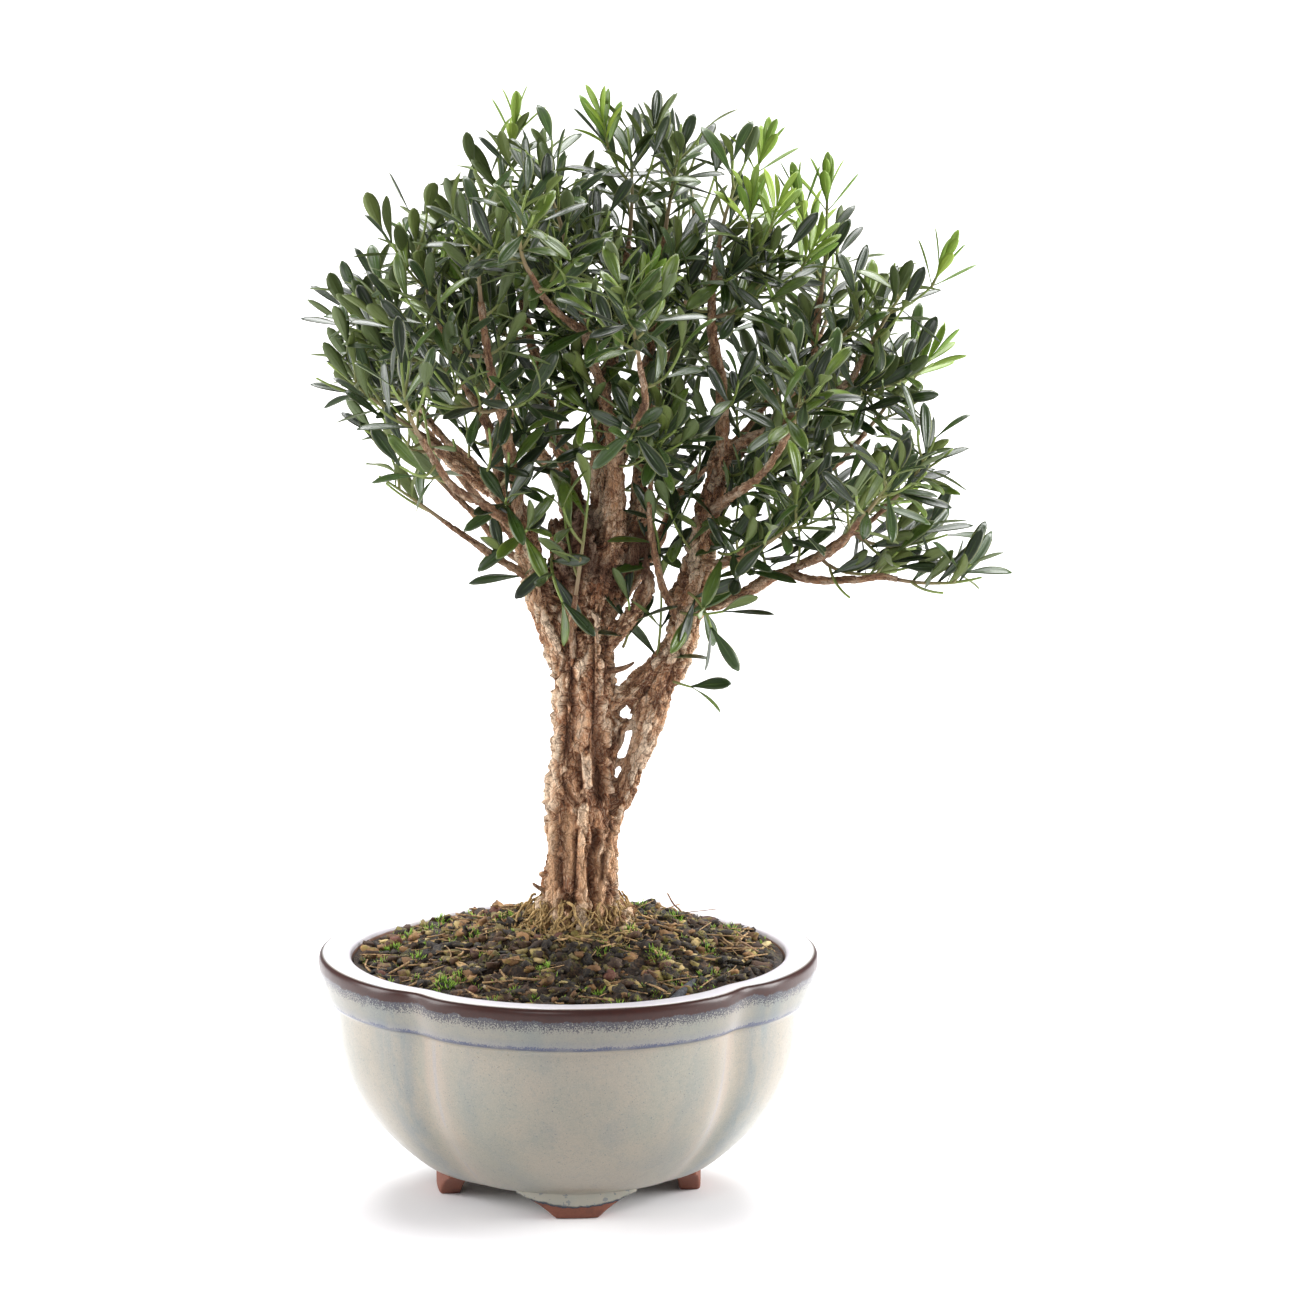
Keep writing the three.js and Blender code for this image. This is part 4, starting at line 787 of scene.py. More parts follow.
OLD_WOOD = (
    # knotty old wood where the limbs part, and the thick stem in front of the leader
    [[11, -1, 234, 7.6], [17, -2, 247, 5.8], [23.5, -2, 259, 5.2], [28.5, -1, 271, 4.4], [31, 0, 284, 2.8]],
    [[-2, -2, 232, 7], [2.5, -2, 247, 7.4], [4, 1, 261, 6.4], [2, 3, 274, 5], [-1, 5, 287, 3]],
    # rotten stubs of cut limbs in the crotch
    [[-2, -4, 248, 4.4], [-4, -7, 263, 3.6], [-5.5, -7, 276, 2.4]],
    [[1.5, -3, 250, 4.8], [0, -6, 268, 4], [1.5, -7, 284, 2.8]],
    [[5.5, -4, 250, 4.6], [5.5, -8, 266, 3.8], [4.5, -9, 280, 2.4]],
    [[9, -4, 250, 4], [9.6, -9, 262, 3], [8.4, -11, 271, 1.9]],
    [[20, -4, 248, 4], [25, -7, 259, 3.8], [27.5, -8, 269, 2.6]],
    [[26, -3, 256, 3.2], [31, -5, 263, 2.8], [33, -5, 270, 1.8]],
    [[10, -3, 242, 6.6], [17.5, -8.5, 264, 5.2], [19, -10, 288, 4.3], [18.5, -12.5, 306, 3.4],
     [16, -15, 324, 2.6]],
    [[47, 0, 240, 6.6], [50, -1.5, 249, 6.4], [56, -2, 256, 3.6]],
    # a splinter on the side of the dead stub
    [[26, -8, 236, 2.8], [31.5, -9.5, 244, 2], [35, -10, 254, 0.6]],
)
THICK = 3.3                      # limbs that start thicker than this are in one of the two skins
WITH_TRUNK = ("right_lower_root", "right_upper_root")     # and these in the trunk's
TRUNK_VOXEL, LIMB_VOXEL = 0.6, 0.66
EVENING_ROUNDS = 4
FIRST_SIDE = np.array([0.1, -1, 0.2])
RING_STEP = 1.1                  # between the rings of a limb's tube
TRUNK_SIDES, LIMB_SIDES = 48, 14
TRUNK_RIBS = 0.1                 # share of the radius
OLD_BARK_FROM = 13               # radius from which the bark is at its coarsest
LIMBS_APART = 173                # along the grain
STROKES = (
    # depth (above zero: height), half width, bareness and [x, z] points of marks on the trunk's front
    # strokes sunk below zero also carry painted shade in their grooves, less where the wood is bare
    (-3.6, 1.3, 0, [[9.2, 234], [9.6, 217], [9.8, 205], [9.8, 196]]),
    (-4.2, 3.0, 0, [[10.4, 201], [11.4, 190], [12, 180], [12.6, 163]]),
    (-3.4, 1.1, 0, [[4.2, 179.5], [4, 173], [4.8, 167]]),
    (2.6, 2.0, 0, [[7.2, 180], [8.4, 174], [8.8, 168]]),
    (1.7, 2.1, 0.8, [[6.8, 157], [5.6, 150], [5.4, 138], [6.2, 119]]),
    (0.7, 2.6, 0.9, [[-7, 150], [-7.4, 138], [-6.6, 120]]),
    (0.8, 2.4, 0.8, [[11.8, 140], [13.2, 130], [13.4, 118]]),
    (0.5, 2.2, 0.7, [[21.5, 152], [18, 143], [17, 132]]),
    (-1.9, 2.6, 1, [[0, 154.5], [0.2, 145], [0.4, 133]]),
    (1.9, 1.3, 0, [[-7, 159], [-1, 158.6], [3, 157]]),
    (-2.6, 0.9, 0, [[2.7, 148], [2.5, 138], [2.9, 127]]),
    (-2.8, 1.3, 0, [[11.4, 149], [11, 143], [9.3, 138], [9.2, 127]]),
    (-2.4, 1.1, 0, [[14, 139], [13.4, 130]]),
    (-2.3, 0.9, 0, [[-4, 138], [-3.6, 127]]),
    (-2.4, 1.0, 0, [[-1.2, 168], [1.4, 162.5], [3.4, 160]]),
    (-2.6, 1.6, 0, [[-10, 154.5], [-6, 154.2]]),
    (2.2, 2.4, 0, [[-8.6, 163], [-8.4, 159.5]]),
    (-1.9, 1.0, 0, [[15.4, 145], [19.2, 151]]),
    (-1.9, 1.2, 0, [[15.2, 172], [14.4, 162]]),
    (-1.8, 0.9, 0, [[2.4, 214], [2.8, 200], [2.2, 186]]),
    (-1.7, 0.8, 0, [[-1.4, 205], [-0.8, 192], [-1.6, 176]]),
    (-1.7, 0.9, 0, [[15, 228], [15.6, 214], [14.6, 204]]),
    (0.9, 1.1, 0.9, [[3.9, 191], [8.2, 194]]),
    (-2.0, 1.3, 0, [[5.4, 236], [4.6, 250], [7.4, 262]]),
    (-2.0, 1.2, 0, [[-2.6, 240], [-1, 252]]),
    (-1.8, 1.2, 0, [[16.6, 238], [19.6, 252]]),
)
HOLES_LINE = [[22.5, 197], [24, 184], [20.3, 168]]     # runs through the three holes
ROTTEN_LINE = [[-2, 250], [4, 270], [1, 284], [9, 258], [24, 250], [30, 266]]     # and through the stubs, where rot and painted leaf shade darken the wood


def framed(path):
    """Unit vectors along a path and to its side. The side is carried from point to point and made
    square to the path at each, so that it turns as little as possible."""
    along = unit(np.gradient(path, axis=0))
    side = np.empty_like(along)
    carried = FIRST_SIDE
    for i, heading in enumerate(along):
        carried = carried - heading * (carried @ heading)
        carried = carried / np.linalg.norm(carried)
        side[i] = carried
    return along, side, np.cross(along, side)


def limb_line(knots):
    """Centres and radii along a limb, one ring every RING_STEP millimetres or so."""
    knots = np.array(knots, float)
    rings = int(np.hypot.reduce(np.diff(knots[:, :3], axis=0), axis=1).sum() / RING_STEP)
    t = np.linspace(0, 1, max(rings, 8))
    radius = np.interp(t * (len(knots) - 1), np.arange(len(knots)), knots[:, 3])
    return curve_through(knots[:, :3], t), radius


def tube(path, radius, sides):
    """A ring of points round every point of the path, radius being a number or array for each ring
    and side, and flat ends. Gives points, faces and each point's place across and along the tube."""
    _, side, other = framed(path)
    a = np.linspace(0, 2 * np.pi, sides, endpoint=False)
    radius = (radius + np.zeros((len(path), 1))) if np.ndim(radius) != 1 else radius[:, None]
    radius = np.broadcast_to(radius, (len(path), sides))[..., None]
    ring = side[:, None] * np.cos(a)[:, None] + other[:, None] * np.sin(a)[:, None]
    points = path[:, None] + ring * radius
    length = np.concatenate([[0], np.cumsum(np.linalg.norm(np.diff(path, axis=0), axis=1))])
    across = np.stack([np.cos(a) * radius[..., 0], np.sin(a) * radius[..., 0],
                       np.broadcast_to(length[:, None], radius.shape[:2])], -1)
    return points.reshape(-1, 3), tube_faces(len(path), sides), across.reshape(-1, 3)


def stick(knots, sides):
    """A tube along one line of knots: its points and faces."""
    return tube(*limb_line(knots), sides)[:2]


def joined(parts):
    """Several meshes of points and face arrays as one, face arrays of one size put together."""
    start, points, by_size = 0, [], {}
    for part_points, part_faces in parts:
        points.append(part_points)
        for faces in part_faces:
            by_size.setdefault(faces.shape[1], []).append(faces + start)
        start += len(part_points)
    return np.concatenate(points), [np.concatenate(faces) for faces in by_size.values()]


def trunk_tube():
    """The trunk's tube swells and shrinks round it in seven and four soft ribs above the flare."""
    path, radius = limb_line(TRUNK)
    a = np.linspace(0, 2 * np.pi, TRUNK_SIDES, endpoint=False)
    z = path[:, 2:]
    ribs = np.cos(4 * a + 0.02 * z) + 0.6 * np.cos(7 * a - 0.04 * z)
    flare = smooth(128, 104, z) * (0.06 * np.cos(5 * a + 0.6) + 0.05 * np.cos(9 * a))
    swelling = 1 + TRUNK_RIBS * smooth(112, 126, z) * ribs + flare
    return tube(path, radius[:, None] * swelling, TRUNK_SIDES)[:2]


def fused(points, faces, voxel):
    """One closed skin round overlapping tubes, from a voxel remesh that is applied at once."""
    rough = new_piece("rough_wood", points, faces, None)
    remesh = rough.modifiers.new("skin", "REMESH")
    remesh.mode = "VOXEL"
    remesh.voxel_size = voxel * MM
    skin = bpy.data.meshes.new_from_object(rough.evaluated_get(bpy.context.evaluated_depsgraph_get()))
    found = np.empty(len(skin.vertices) * 3, np.float32)
    skin.vertices.foreach_get("co", found)
    quads = np.empty(len(skin.loops), np.int32)
    skin.loops.foreach_get("vertex_index", quads)
    bpy.data.objects.remove(rough)
    return (found.reshape(-1, 3).astype(float) - POT_AXIS) / MM, quads.reshape(-1, 4)


def evened(points, quads, rounds):
    """Each point moves to the mean of itself and its neighbours along edges, that many times."""
    ends = np.concatenate([quads, np.roll(quads, 1, 1)], 0).ravel()
    others = np.concatenate([np.roll(quads, -1, 1), quads], 0).ravel()
    weight = np.bincount(ends, minlength=len(points))[:, None]
    for _ in range(rounds):
        total = np.stack([np.bincount(ends, points[others, axis], len(points)) for axis in range(3)], -1)
        points = 0.5 * points + 0.5 * total / weight
    return points


def outward(points, quads):
    """Unit normals at the points: the sum of the crossed diagonals of the quads round each."""
    a, b, c, d = (points[quads[:, i]] for i in range(4))
    face = np.cross(c - a, d - b)
    total = np.stack([np.bincount(quads.ravel(), np.repeat(face[:, axis], 4), len(points))
                      for axis in range(3)], -1)
    return unit(total + 1e-12)


def coarseness(radius):
    """How coarse the bark is on wood that thick: 1 on the trunk and finer on thin limbs."""
    return np.clip(radius / OLD_BARK_FROM, 0.1, 1) ** 0.4


def grain_along(path, radius):
    """Length along a limb counted in its own grain: the sum of each step over its coarseness."""
    step = np.linalg.norm(np.diff(path, axis=0), axis=1)
    return np.concatenate([[0], np.cumsum(step / coarseness(radius[1:]))])


def on_skeleton(points, limbs):
    """For each point the nearest limb by surface: its radius there, and the point's place across and
    along that limb in its own grain. Limbs lie apart along the grain, so each has a bark of its own."""
    centres, radii, frames, lengths = [], [], [], []
    for number, knots in enumerate(limbs):
        path, radius = limb_line(knots)
        centres.append(path)
        radii.append(radius)
        frames.append(np.stack(framed(path), 1))
        lengths.append(grain_along(path, radius) + LIMBS_APART * number)
    centres, radii, frames, lengths = map(np.concatenate, (centres, radii, frames, lengths))
    nearest = np.empty(len(points), int)
    for block in np.array_split(np.arange(len(points)), 1 + len(points) // 8000):
        square = ((points[block] ** 2).sum(1)[:, None] - 2 * points[block] @ centres.T
                  + (centres ** 2).sum(1))
        nearest[block] = np.argmin(np.sqrt(np.maximum(square, 0)) - radii, axis=1)
    offset = points - centres[nearest]
    along, side, other = (np.einsum("ij,ij->i", offset, frames[nearest, i]) for i in range(3))
    size = coarseness(radii[nearest])
    return radii[nearest], np.stack([side / size, other / size, lengths[nearest] + along / size], -1)


def cells(points, seed):
    """Worley cells with one jittered point in each unit cube: how much farther off the second nearest
    point is than the nearest, and a random number of the nearest."""
    cell = np.floor(points).astype(np.int64)
    first = np.full(len(points), 9.0)
    second, value = first.copy(), np.zeros(len(points))
    for step in np.ndindex(3, 3, 3):
        near = cell + step - 1
        pick = drawn(near, seed)
        spot = near + 0.5 + 0.5 * SLOPES[pick]
        away = np.linalg.norm(points - spot, axis=-1)
        nearer = away < first
        second = np.where(nearer, first, np.minimum(second, away))
        value = np.where(nearer, SLOPES[pick, 0] * 0.5 + 0.5, value)
        first = np.minimum(first, away)
    return second - first, value


def bark_relief(grain, radius):
    """Height, painted shade in the creases, and plate tone of the bark. Long plates and small flakes on
    them are cells, each at a height of its own, with a crease along every seam; slow noise swells the
    wood under them."""
    drift = np.stack([noise(grain / 5, seed) for seed in (40, 41, 42)], -1) - 0.5
    bent = grain + 3.6 * drift
    seam, plate = cells(bent * (1, 1, 0.23) / 4.3, 1)
    small_seam, flake = cells(bent * (1, 1, 0.48) / 2.2, 2)
    crease = 1 - smooth(0.02, 0.24, seam)
    deep = smooth(0.4, 0.62, noise(grain * (1, 1, 0.25) / 8, 9))
    fine = 1 - smooth(0, 0.3, small_seam)
    swell = noise(grain * (1, 1, 0.35) / 8, 8) - 0.5
    reach = np.clip(0.2 * radius, 0.12, 1.6)
    height = reach * (1.6 * (plate - 0.5) - (0.35 + 1.1 * deep) * crease - 0.3 * fine
                      + 0.9 * (flake - 0.5) + 2.6 * swell)
    return height, np.clip(crease * (0.25 + 0.75 * deep) + 0.35 * fine, 0, 1), plate


def from_line(points, line):
    """Distance of points in a plane from a broken line in it."""
    line = np.asarray(line, float)
    best = np.full(len(points), 1e9)
    for start, end in zip(line[:-1], line[1:]):
        step = end - start
        t = np.clip((points - start) @ step / (step @ step), 0, 1)
        best = np.minimum(best, np.linalg.norm(points - start - t[:, None] * step, axis=1))
    return best


def trunk_marks(points):
    """The trunk's own marks on its front half: height, painted shade in the sunk grooves, and how bare the
    wood is.
    """
    front = smooth(1.5, -2.5, points[:, 1]) * (points[:, 0] < 23)
    height, dark, bare = np.zeros((3, len(points)))
    for depth, width, bareness, line in STROKES:
        weight = np.exp(-(from_line(points[:, [0, 2]], line) / width) ** 2) * front
        height += depth * weight
        # painted shade in the grooves of sunk strokes
        dark += weight * (depth < 0) * (1 - bareness)
        bare = np.maximum(bare, weight * bareness)
    return height, np.clip(dark, 0, 1), bare


def bark_finish():
    """Tan cork in long flaky plates, each of its own tone, paler on its ridges and darker in its hollows as
    painted light and shade, with painted highlights on the plate rims and painted shade in the cracks;
    cinnamon where a plate has dropped off, nearly black where rotten and under painted leaf shade in
    the crotch, olive with algae at the foot. Thin twigs are greyer."""
    shade, place = new_finish("corky_bark")
    grain = shade.mark("grain", "Vector")
    plate = shade.mark("plate")
    bent = grain.warped(0.35, 3.0)
    fibre = grain.stretched(1, 1, 0.22).noise(1.7, 5, 0.75)
    edge = bent.stretched(1, 1, 0.36).seams(0.36)
    flake_edge = bent.stretched(1, 1, 0.48).seams(0.95)
    tone = bent.stretched(1, 1, 0.36).cell_tone(0.36)
    patch = grain.stretched(1, 1, 0.4).noise(0.12, 3, 0.6)
    algae = place.node("SeparateXYZ", {0: place}, output="Z") * 1000
    algae = algae.between(126, 106) * place.noise(260, 3, 0.6).between(0.38, 0.6)
    # painted light and shade: the raised mark pales the bark on its ridges and darkens it in its hollows
    base = (fibre * 0.5 + tone * 0.2 + plate * 0.16 + shade.mark("raised") * 0.3).ramp(
        (0.34, ink(136, 90, 62)), (0.46, ink(200, 146, 106)), (0.58, ink(240, 192, 150)),
        (0.74, ink(255, 228, 196)))
    base = base.painted(
        (patch.between(0.5, 0.68), 0.4, ink(206, 138, 92)),
        # painted highlight on the plate rims beside the seams, where the ridges catch the light
        (edge.between(0.05, 0.09) * edge.between(0.2, 0.11), 0.35, ink(250, 220, 190)),
        # painted shade: thin dark lines along the seams of flakes and plates, where the cracks lie in shade
        (flake_edge.between(0.06, 0.0), 0.35, ink(118, 76, 52)),
        (edge.between(0.06, 0.012), 0.6, ink(92, 58, 38)),
        (shade.mark("thin"), 0.4, ink(156, 120, 90)),
        (shade.mark("bare"), 0.65, fibre.blend(ink(196, 142, 98), ink(246, 208, 166))),
        # painted shade in the bark's cracks and the trunk's sunk grooves
        (shade.mark("crack"), 0.58, ink(80, 50, 34)),
        # rot, with painted leaf shade over it in the crotch
        (shade.mark("rotten"), 0.85, fibre.blend(ink(46, 28, 20), ink(112, 72, 50))),
        (algae, 0.7, ink(96, 92, 48)))
    relief = (edge.between(0.0, 0.16) * 0.7 + flake_edge.between(0.0, 0.2) * 0.35 + tone * 0.5 + fibre * 0.6
              + grain.stretched(1, 1, 0.5).noise(3.2, 4, 0.75) * 0.35)
    return shade.coat(base_color=base, roughness=0.9 - 0.12 * fibre, normal=relief.bump(1.3, 1.0),
                      specular_ior_level=0.3)


BARK = bark_finish()
thick_limbs = {name: knots for name, (knots, _) in LIMBS.items() if knots[0][3] >= THICK}
own_limbs = [thick_limbs[name] for name in WITH_TRUNK]


def barked_wood(name, rough_parts, voxel):
    """The parts in one closed skin, whose points are raised or sunk by the bark and the trunk's marks."""
    points, quads = fused(*joined(rough_parts), voxel)
    points = evened(points, quads, EVENING_ROUNDS)
    radius, grain = on_skeleton(points, [TRUNK, *thick_limbs.values()])
    relief, crack, plate = bark_relief(grain, radius)
    own_height, own_crack, bare = trunk_marks(points)
    calm = np.exp(-(from_line(points[:, [0, 2]], HOLES_LINE) / 4) ** 2)
    # rotten stubs in the crotch, darkened further with painted shade as under the leaves
    rotten = np.exp(-(from_line(points[:, [0, 2]], ROTTEN_LINE) / 7.5) ** 2)
    relief = relief * (1 - 0.7 * bare) * (1 - 0.5 * own_crack) * (1 - 0.6 * calm + 0.9 * rotten)
    relief = relief * smooth(96, 106, points[:, 2]) + own_height
    # painted shade and light travel in the marks: dark in the cracks and grooves, leaf shade over the rotten
    # crotch, and the raised height that pales ridges and darkens hollows
    wood = new_piece(name, points + outward(points, quads) * relief[:, None], [quads], BARK, grain=grain,
                     bare=bare, plate=plate, crack=np.maximum(crack * (1 - bare), 1.3 * own_crack),
                     rotten=rotten, thin=smooth(4, 1.5, radius), raised=smooth(-1.6, 1.6, relief))
    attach(wood, "root")
    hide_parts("wood")


crown_lines = [knots for name, knots in thick_limbs.items() if name not in WITH_TRUNK]
barked_wood("trunk", [trunk_tube(), *(stick(knots, LIMB_SIDES) for knots in [*own_limbs, *BRIDGES])],
            TRUNK_VOXEL)
barked_wood("crown_limbs", [stick(knots, LIMB_SIDES) for knots in [*crown_lines, *OLD_WOOD]], LIMB_VOXEL)

# Branches: the thinner wood, carried straight along its line with the same bark at a smaller scale.
# Each starts inside the limb that bears it.
BRANCH_SIDES = 16
BRANCHES_APART = 211             # along the grain
TWIG_ENDS = (
    # broken twigs on the right edge of the trunk and at its foot on the left
    [[13, -3, 212.4, 1.8], [20, -3, 213.6, 1.2], [24, -3, 215, 0.9], [26.4, -3, 216.6, 0.6]],
    [[-6, -3, 121, 1.5], [-12, -4, 124.5, 0.9], [-14.2, -4, 126.2, 0.5]],
)
branch_parts, branch_marks = [], []
thin_limbs = [knots for knots, _ in LIMBS.values() if knots[0][3] < THICK]
for number, knots in enumerate(thin_limbs + list(TWIG_ENDS)):
    path, radius = limb_line(knots)
    points, faces, grain = tube(path, radius, BRANCH_SIDES)
    thickness = np.repeat(radius, BRANCH_SIDES)
    grain[:, :2] /= coarseness(thickness)[:, None]
    grain[:, 2] = np.repeat(grain_along(path, radius), BRANCH_SIDES) + BRANCHES_APART * number
    height, crack, plate = bark_relief(grain, thickness)
    centres = np.repeat(path, BRANCH_SIDES, 0)
    points = centres + (points - centres) * (1 + height / thickness)[:, None]
    branch_parts.append((points, faces))
    # painted light and shade on the branch bark: the raised mark from its height, and the cracks' darkness
    raised = 0.5 + 0.5 * np.clip(height / (0.25 * thickness), -1, 1)
    branch_marks.append(np.column_stack([grain, crack, smooth(4, 1.5, thickness), plate, raised]))
marks = np.concatenate(branch_marks)
branches = new_piece("branches", *joined(branch_parts), BARK, grain=marks[:, :3], crack=marks[:, 3],
                     thin=marks[:, 4], plate=marks[:, 5], raised=marks[:, 6], bare=np.zeros(len(marks)))
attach(branches, "root")
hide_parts("wood")

# Surface roots: fine old roots that leave the trunk's foot and run down over the soil, crossing each
# other, with dead needles and twigs lying about them.
ROOT_COUNT = 300
TWIG_COUNT = 190


def surface_roots():
    """Each root starts on the flare, falls to the soil within a few millimetres and wanders outwards:
    its angle and height are sums of slow and quick waves with random phases."""
    rng = np.random.default_rng(31)
    parts = []
    t = np.linspace(0, 1, 26)
    for _ in range(ROOT_COUNT):
        angle = 2 * np.pi * rng.random()
        sweep = rng.normal() * 0.8
        reach = 3 + 19 * rng.random() ** 2
        high = 1 + 11 * rng.random() ** 1.5
        wave = 0.13 * np.sin(9 * t + 6 * rng.random()) + 0.07 * np.sin(23 * t + 6 * rng.random())
        a = angle + sweep * t ** 1.2 + wave * np.sqrt(t)
        out = 15 + 3.4 * rng.random() + reach * t ** 1.1 + 0.5 * np.sin(15 * t + 6 * rng.random())
        x, y = STUMP_X - 1.2 + out * np.cos(a), out * np.sin(a)
        drop = (1 - smooth(0, 0.55, t)) * high
        z = soil_height(x, y) + drop + 0.4 + 1.1 * np.sin(11 * t + 6 * rng.random()) * t
        radius = (0.26 + 0.5 * rng.random() ** 3) * (1 - 0.5 * t)
        parts.append(tube(np.column_stack([x, y, z]), radius, 5)[:2])
    return joined(parts)


def fallen_twigs():
    """Slightly bent sticks and needles, each lying across the soil at its own angle."""
    x, y, rng = scattered(TWIG_COUNT, 22, 88, 41)
    parts = []
    t = np.linspace(-0.5, 0.5, 9)
    for i in range(len(x)):
        angle, length = 2 * np.pi * rng.random(), 7 + 14 * rng.random() ** 1.5
        along = length * t
        bend = 2.2 * (rng.random() - 0.5) * (1 - 4 * t * t)
        px = x[i] + along * np.cos(angle) - bend * np.sin(angle)
        py = y[i] + along * np.sin(angle) + bend * np.cos(angle)
        inside = SOIL_REACH / np.maximum(np.hypot(px, py), SOIL_REACH)
        px, py = px * inside, py * inside
        rest = np.full(9, soil_height(px, py).max() + 0.2) + 2.5 * rng.random() * t
        parts.append(tube(np.column_stack([px, py, rest]), 0.18 + 0.36 * rng.random() ** 3, 5)[:2])
    return joined(parts)


def twig_finish(name, light, dark):
    """Dry fibrous skin between two tones, with small dark spots."""
    shade, place = new_finish(name)
    fibre = place.noise(500, 4, 0.7)
    base = fibre.between(0.3, 0.7).blend(dark, light)
    base = base.painted((place.noise(1300, 2).between(0.55, 0.7), 0.5, ink(70, 54, 34)))
    return shade.coat(base_color=base, roughness=0.85, normal=fibre.bump(0.3, 0.8))


roots = new_piece("surface_roots", *surface_roots(),
                  twig_finish("root_skin", ink(200, 168, 112), ink(104, 84, 48)))
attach(roots, "root")
twigs = new_piece("fallen_twigs", *fallen_twigs(),
                  twig_finish("dry_twig", ink(190, 156, 108), ink(92, 68, 46)))
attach(twigs, "root")

# Three bits that stand out on the soil: a thin dry twig that stands up behind the trunk, another that
# leans by the right-hand wall, and a stick of charcoal. They are pushed into the humus.
STANDING_TWIG = [[46.5, 40, 93, 0.6], [45.5, 40, 103, 0.5], [42.2, 40, 107, 0.4], [39.7, 40, 111.5, 0.45]]
LEANING_TWIG = [[60, 38, 92, 0.6], [66, 16, 98, 0.55], [71, -4, 101, 0.5], [76, -25, 103, 0.35]]
CHARCOAL = [[40, -78, 94.6, 1.2], [43.5, -71, 96, 1.8], [48, -60, 97.4, 1.6], [51, -51, 98, 0.8]]
standing = new_piece("standing_twigs", *joined([stick(STANDING_TWIG, 6), stick(LEANING_TWIG, 6)]),
                     twig_finish("grey_twig", ink(170, 138, 108), ink(110, 78, 60)))
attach(standing, "root")
charcoal = new_piece("charcoal_stick", *stick(CHARCOAL, 7),
                     twig_finish("charcoal", ink(74, 78, 84), ink(32, 34, 38)))
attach(charcoal, "root")

# Leafy sprays: each is a green shoot with side shoots in the axils and pairs of spoon-shaped leaves,
# every pair square to the one below. They leave the limbs where the frame's own sprays do.
UP = np.array([0.0, 0.0, 1.0])
CROWN_MIDDLE = np.array([28.6, 0.0, 310.0])
SPRAY_LENGTH = 39.2
STEM_RADIUS, STEM_TIP = 0.95, 0.5
PAIRS, SIDE_PAIRS, SIDE_SHOOTS = 6, 3, 4
LEAF_LENGTH, LEAF_WIDTH, LEAF_THICKNESS = 21.5, 5.5, 0.3
LEAF_ALONG, LEAF_ACROSS = 9, 5
SHOOT_SAG = -0.15                # least slope at which a side shoot leaves its stem
TURNS = {1: 40, 2: -45, 9: 180, 17: 50, 34: 12, 49: 40}     # turns of single sprays, in degrees
OUTLINE = (
    # place along the leaf and share of its full width there
    (0, 0.13), (0.1, 0.16), (0.26, 0.48), (0.44, 0.83), (0.6, 1), (0.74, 0.98), (0.87, 0.8),
    (0.95, 0.52), (1, 0.18),
)
RISE_UP, RISE_BACK = 0.976, 0.219     # a millimetre up and back, as seen from the front and a little above
CROWN_SEEN = (28.7, 334.3)       # the crown's middle in that view
CROWN_EDGE = (116, 119, 104, 109, 105, 107, 107, 107, 112, 108, 124, 130, 140, 119, 112, 96, 90, 103, 96, 112,
              108, 126, 170, 132, 116)       # how far the leaves reach there, every 15 degrees from the right
CLEARING = (-12, -71, 18, 25)    # where the limbs part no leaf hides the wood: middle and half widths
LEAVES_MISSING = 0.05            # of all leaves
THIN_SPOTS = (
    # middle, reach and share of the leaves missing where the crown is thin, in the same view
    (58, 62, 26, 0.9), (22, 66, 20, 0.35), (94, 30, 24, 0.7), (96, -66, 20, 0.5), (-86, -36, 30, 0.9),
    (-30, -30, 20, 0.2), (-52, 58, 18, 0.25), (130, -14, 28, 0.75),
)


def seen(points):
    """How far points are to the right of the crown's middle and above it, as seen from the front."""
    return (points[..., 0] - CROWN_SEEN[0],
            RISE_UP * points[..., 2] + RISE_BACK * points[..., 1] - CROWN_SEEN[1])


def trimmed(points, loose):
    """Whether points lie within the crown's edge, give or take, and not before the bare fork."""
    u, w = seen(points)
    edge = np.interp(np.degrees(np.arctan2(w, u)) % 360, 15 * np.arange(25), CROWN_EDGE)
    aside, below, half_width, half_height = CLEARING
    clear = np.hypot((u - aside) / half_width, (w - below) / half_height) > 1
    return (np.hypot(u, w) < edge + loose) & clear


def draw(a, b, c):
    """A seeded draw between 0 and 1 from three whole numbers, the same as the frame's."""
    s = np.sin(np.asarray(a) * 127.1 + np.asarray(b) * 311.7 + np.asarray(c) * 74.7) * 43758.5453
    return s - np.floor(s)


def heading_at(ends, t):
    """The direction of a quadratic curve: its two straight steps weighted by 1-t and t."""
    start, middle, end = ends
    t = np.asarray(t, float)[..., None]
    return unit((middle - start) * (1 - t) + (end - middle) * t)


def square_part(vectors, along):
    """What is left of the vectors square to along, at unit length."""
    return unit(vectors - along * (vectors * along).sum(-1, keepdims=True))


def first_side(ends):
    """A level direction across a stem, or straight back where the stem is steep."""
    chord = ends[2] - ends[0]
    side = np.cross(chord, UP)
    steep = np.linalg.norm(side) <= 0.25 * np.linalg.norm(chord)
    return np.array([0.0, 1.0, 0.0]) if steep else unit(side)


